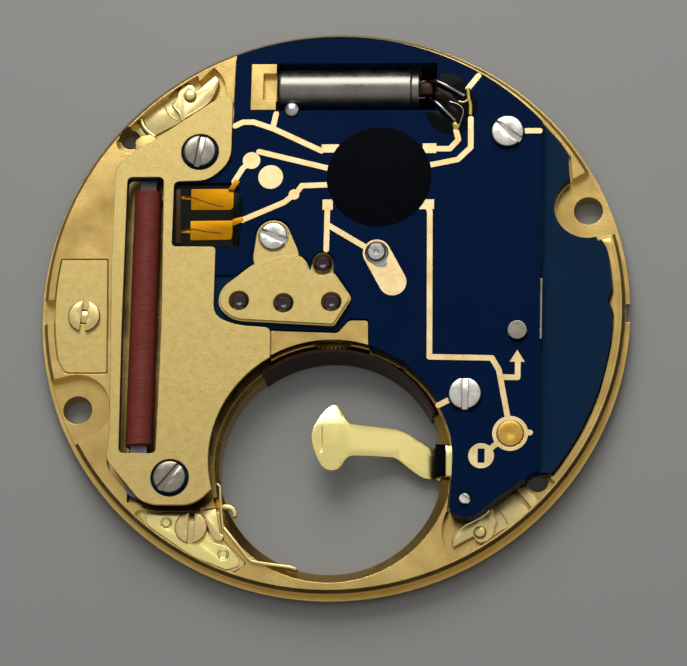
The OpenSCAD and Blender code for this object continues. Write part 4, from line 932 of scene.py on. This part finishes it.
class MOVEMENT_OT_clamp(bpy.types.Operator):
    """Presses the battery clamp, its contact spring with blade, arm and nub, and the two rivets"""
    bl_idname = "movement.clamp"
    bl_label = "Battery clamp"

    def execute(self, context):
        # hole of the screw, underside and top of the clamp, and height of the blade and its arm
        screw, low, top, blade = (*CLAMP_SCREW, 0.36), 1.2, 1.4, (1.12, 1.58)
        plate = sheet("clamp_plate", [
            (-7.86, -9.33, 0.08), (-6.48, -9.24), (-5.55, -9.3), (-5.3, -9.9), (-5.1, -10.4),
            (-4.9, -10.61, 0.05), (-4.3, -10.8), (-3.8, -11.38, 0.1), (-3.82, -11.62, 0.1),
            (-4.35, -11.8, 0.1), (-5.71, -11.25), (-6.37, -10.85), (-7.75, -9.9, 0.1),
            (-7.93, -9.66, 0.1)],
            low, top, 0.06, [screw, *[(*place, 0.25) for place in CLAMP_RIVETS]], 4)
        finish_piece(plate, "gold-plated spring bronze", replaces="cell_clamp")
        ring = [
            (0.0, 0.0), (0.245, 0.0), (0.245, 0.2), (0.215, 0.225), (0.17, 0.21), (0.15, 0.19),
            (0.0, 0.2)]
        rivets = joined("clamp_rivet_heads",
                        *[turned("rivet", place, ring, low, 32) for place in CLAMP_RIVETS])
        finish_piece(rivets, "gold-plated spring bronze", replaces="clamp_rivets")
        spring = joined(
            "contact_spring",
            sheet("spring", [
                (-8.28, -9.38, 0.06), (-8.2, -9.22, 0.05), (-5.0, -9.12), (-4.74, -9.2, 0.05),
                (-4.6, -10.3, 0.1), (-4.2, -10.5), (-3.55, -11.38, 0.1), (-3.6, -11.58, 0.1),
                (-4.05, -11.86, 0.15), (-4.4, -11.83), (-5.71, -11.38), (-7.9, -9.85)],
                1.1, 1.195, 0.02, [screw]),
            sheet("leaf", [
                (-5.5, -9.16, 0.05), (-4.86, -9.1, 0.05), (-4.76, -9.67), (-4.66, -10.18, 0.05),
                (-4.46, -10.3, 0.05), (-4.62, -10.56, 0.05), (-4.9, -10.48), (-5.12, -10.12),
                (-5.26, -9.79)], low, 1.44, 0.035),
            # the upright blade that the battery's side presses, and its arm along the rim
            sheet("blade", band([
                (-4.86, -8.0), (-4.72, -8.12), (-4.7, -8.6), (-4.55, -9.86),
                (-4.5, -10.0)], 0.1), *blade, 0.02),
            sheet("arm", band([
                (-4.5, -9.96), (-4.2, -10.32), (-3.84, -10.76), (-3.44, -11.28), (-3.22, -11.46),
                (-2.74, -11.55), (-1.55, -11.7), (-1.26, -11.8)], 0.13), *blade, 0.025),
            sheet("nub", band([
                (-4.62, -9.0), (-4.34, -8.99), (-4.16, -9.07), (-4.05, -9.24),
                (-4.08, -9.46)], 0.24), 1.15, 1.42, 0.06))
        finish_piece(spring, "gold-plated pressed steel",
                     replaces="cell_contact_spring")
        # a thin dark brown strip lies in the recess below the coil plate's lower edge
        edge = sheet("dark_edge_strip", [
            (-8.39, -8.62), (-7.99, -8.6), (-5.7, -8.77), (-5.64, -9.07), (-7.51, -9.1),
            (-8.09, -8.96)], 0.86, 1.02, 0.02)
        finish_piece(edge, "brown insulating film")
        return {"FINISHED"}


class MOVEMENT_OT_screws(bpy.types.Operator):
    """Turns the slotted screws, with dished heads, chamfers and sawn slots"""
    bl_idname = "movement.screws"
    bl_label = "Screws"

    def execute(self, context):
        # place, head radius, underside, top, shank radius, shank's foot, bearing of the slot
        steel = [(COIL_SCREWS[0], 0.71, 2.17, 2.5, 0.27, 0.5, 80),
                 (COIL_SCREWS[1], 0.71, 2.17, 2.5, 0.27, 0.5, 50)]
        carrier = [((7.59, 7.86), 0.71, 2.03, 2.4, 0.27, 0.7, -35),
                   ((5.91, -4.12), 0.71, 2.03, 2.4, 0.27, 0.7, 90)]
        bridge = [((-2.64, 3.03), 0.62, 2.12, 2.38, 0.26, 0.6, -20)]
        gilt_side = [((-11.0, -0.38), 0.71, 1.35, 1.53, 0.27, 0.5, 85)]
        gilt_clamp = [(CLAMP_SCREW, 0.71, 1.4, 1.6, 0.27, 0.5, 88)]
        # the lighter nickel is a lit copy of the same plating: painted highlight
        nickel, lit_plating = "nickel-plated turned steel", "lit nickel-plated steel"
        gilt = "gold-plated turned steel"
        for name, screws, material, slot, node in (
                ("coil_screw_heads", steel, nickel, "steel", "coil_screws"),
                ("module_screw_heads", carrier, lit_plating, "steel", "module_screws"),
                ("bridge_screw_head", bridge, lit_plating, "steel", "bridge_screw"),
                ("side_screw_head", gilt_side, gilt, "gilt_screw", "side_cover_screw"),
                ("clamp_screw_head", gilt_clamp, gilt, "gilt_screw", "cell_clamp_screw")):
            heads = joined(name, *[screw_piece(*one) for one in screws])
            finish_piece(heads, material, replaces=node)
        return {"FINISHED"}


def screw_piece(place, radius, under, top, shank, foot, bearing):
    """A cheese-head screw: turned head with a chamfer and faced top, shank, and sawn slot"""
    screw = turned("screw", (0, 0), [
        (0.0, foot), (shank - 0.04, foot), (shank, foot + 0.05), (shank, under), (radius, under),
        (radius, top - 0.05), (radius - 0.035, top - 0.01), (radius - 0.07, top),
        (0.3, top - 0.006), (0.0, top - 0.01)], steps=56)
    cut(screw, sheet("slot", [(-1, -0.135), (1, -0.135), (1, 0.135), (-1, 0.135)],
                     top - 0.19, top + 0.3, 0.02, segments=2))
    tidy_mesh(screw)
    softened(screw, 0.012, 2, 45)
    across, along = math.cos(math.radians(bearing)), math.sin(math.radians(bearing))
    for vertex in screw.data.vertices:
        x, y, z = vertex.co
        vertex.co = (x * across - y * along, x * along + y * across, z)
    move(screw, place)
    return screw


class MOVEMENT_OT_stage(bpy.types.Operator):
    """Adds the floor, the soft lamps and the camera at the photograph's viewpoint"""
    bl_idname = "movement.stage"
    bl_label = "Stage"

    def execute(self, context):
        scene = context.scene
        sizes = scene.movement_sizes
        bpy.ops.object.select_all(action="DESELECT")
        bpy.ops.mesh.primitive_plane_add(size=sizes.floor_size, location=(0, 0, -0.02 * MM))
        floor = context.object
        floor.name = "floor"
        bpy.ops.object.transform_apply(location=True)
        # painted board: plain, matt with a slight sheen
        pale = tuple(scene.movement_colours.floor)
        shade = (*[0.96 * v for v in pale[:3]], 1)
        material, tree, shader, _, _ = begin("painted board", shade, pale, FLOOR_PATCH, 2.0)
        shader.inputs["Roughness"].default_value = 0.5
        floor.data.materials.append(material)
        # soft lamps: a large one high behind, a weaker one at the right
        for name, place, side, power in (("key", (-0.015, 0.135, 0.130), 0.12, 0.23),
                                         ("fill", (0.115, 0.06, 0.15), 0.10, 0.011)):
            lamp = bpy.data.lights.new(name, "AREA")
            lamp.energy = power
            lamp.size = side
            holder = bpy.data.objects.new(name, lamp)
            scene.collection.objects.link(holder)
            holder.location = place
            holder.rotation_euler = (-Vector(place)).to_track_quat("-Z", "Y").to_euler()
        # pale room, brighter overhead than at the horizon
        world = bpy.data.worlds.new("studio")
        scene.world = world
        world.use_nodes = True
        tree = world.node_tree
        tree.nodes.clear()
        place = add(tree, "ShaderNodeTexCoord").outputs["Generated"]
        height = add(tree, "ShaderNodeSeparateXYZ", {0: place})
        rise = add(tree, "ShaderNodeMapRange", {"Value": height.outputs["Z"], "From Min": 0.40,
                                                "From Max": 0.93})
        sky = add(tree, "ShaderNodeMix", {0: rise.outputs[0], 6: (0.03, 0.03, 0.032, 1),
                                          7: (0.64, 0.64, 0.64, 1)}, data_type="RGBA")
        back = add(tree, "ShaderNodeBackground", {"Color": sky.outputs[2], "Strength": 1.0})
        add(tree, "ShaderNodeOutputWorld", {"Surface": back.outputs[0]})
        # camera at the photograph's viewpoint, tipped from straight above
        turn = (Matrix.Rotation(math.radians(CAMERA_TIP[1]), 3, "Y")
                @ Matrix.Rotation(math.radians(CAMERA_TIP[0]), 3, "X"))
        offset = Vector((*[v * MM for v in CAMERA_SHIFT], -sizes.camera_distance))
        camera = bpy.data.cameras.new("photo view")
        camera.sensor_width = SENSOR
        camera.lens = FOCAL_PIXELS / PHOTO_WIDTH * SENSOR * sizes.camera_distance / CAMERA_DISTANCE
        camera.clip_start = 0.01
        camera.clip_end = 10
        holder = bpy.data.objects.new("photo view", camera)
        scene.collection.objects.link(holder)
        back_turn = turn.transposed()
        holder.matrix_world = Matrix.Translation(-(back_turn @ offset)) @ back_turn.to_4x4()
        scene.camera = holder
        scene.view_settings.view_transform = "Standard"
        return {"FINISHED"}


class MOVEMENT_PT_panel(bpy.types.Panel):
    """Lists the movement's pieces in the sidebar"""
    bl_idname = "MOVEMENT_PT_panel"
    bl_label = "Watch movement"
    bl_space_type = "VIEW_3D"
    bl_region_type = "UI"
    bl_category = "Movement"

    def draw(self, context):
        for group in (context.scene.movement_sizes, context.scene.movement_colours):
            for name in group.__annotations__:
                self.layout.prop(group, name)
        for piece in OPERATORS:
            self.layout.operator(piece.bl_idname)


OPERATORS = (MOVEMENT_OT_stage, MOVEMENT_OT_finishes, MOVEMENT_OT_coil, MOVEMENT_OT_strap,
             MOVEMENT_OT_crystal_end, MOVEMENT_OT_terminals, MOVEMENT_OT_jewels, MOVEMENT_OT_rivet,
             MOVEMENT_OT_plate_seats, MOVEMENT_OT_rim, MOVEMENT_OT_solder, MOVEMENT_OT_fasteners,
             MOVEMENT_OT_clamp, MOVEMENT_OT_screws)
CLASSES = (MovementSizes, MovementColours) + OPERATORS + (MOVEMENT_PT_panel,)


def register():
    for piece in CLASSES:
        bpy.utils.register_class(piece)
    bpy.types.Scene.movement_sizes = bpy.props.PointerProperty(type=MovementSizes)
    bpy.types.Scene.movement_colours = bpy.props.PointerProperty(type=MovementColours)


def unregister():
    del bpy.types.Scene.movement_colours
    del bpy.types.Scene.movement_sizes
    for piece in reversed(CLASSES):
        bpy.utils.unregister_class(piece)


def main():
    register()
    bpy.ops.object.select_all(action="DESELECT")
    bpy.ops.movement.stage()
    bpy.ops.movement.finishes()
    bpy.ops.movement.coil()
    bpy.ops.movement.strap()
    bpy.ops.movement.crystal_end()
    bpy.ops.movement.terminals()
    bpy.ops.movement.jewels()
    bpy.ops.movement.rivet()
    bpy.ops.movement.plate_seats()
    bpy.ops.movement.rim()
    bpy.ops.movement.solder()
    bpy.ops.movement.fasteners()
    bpy.ops.movement.clamp()
    bpy.ops.movement.screws()


if __name__ == "__main__":
    main()
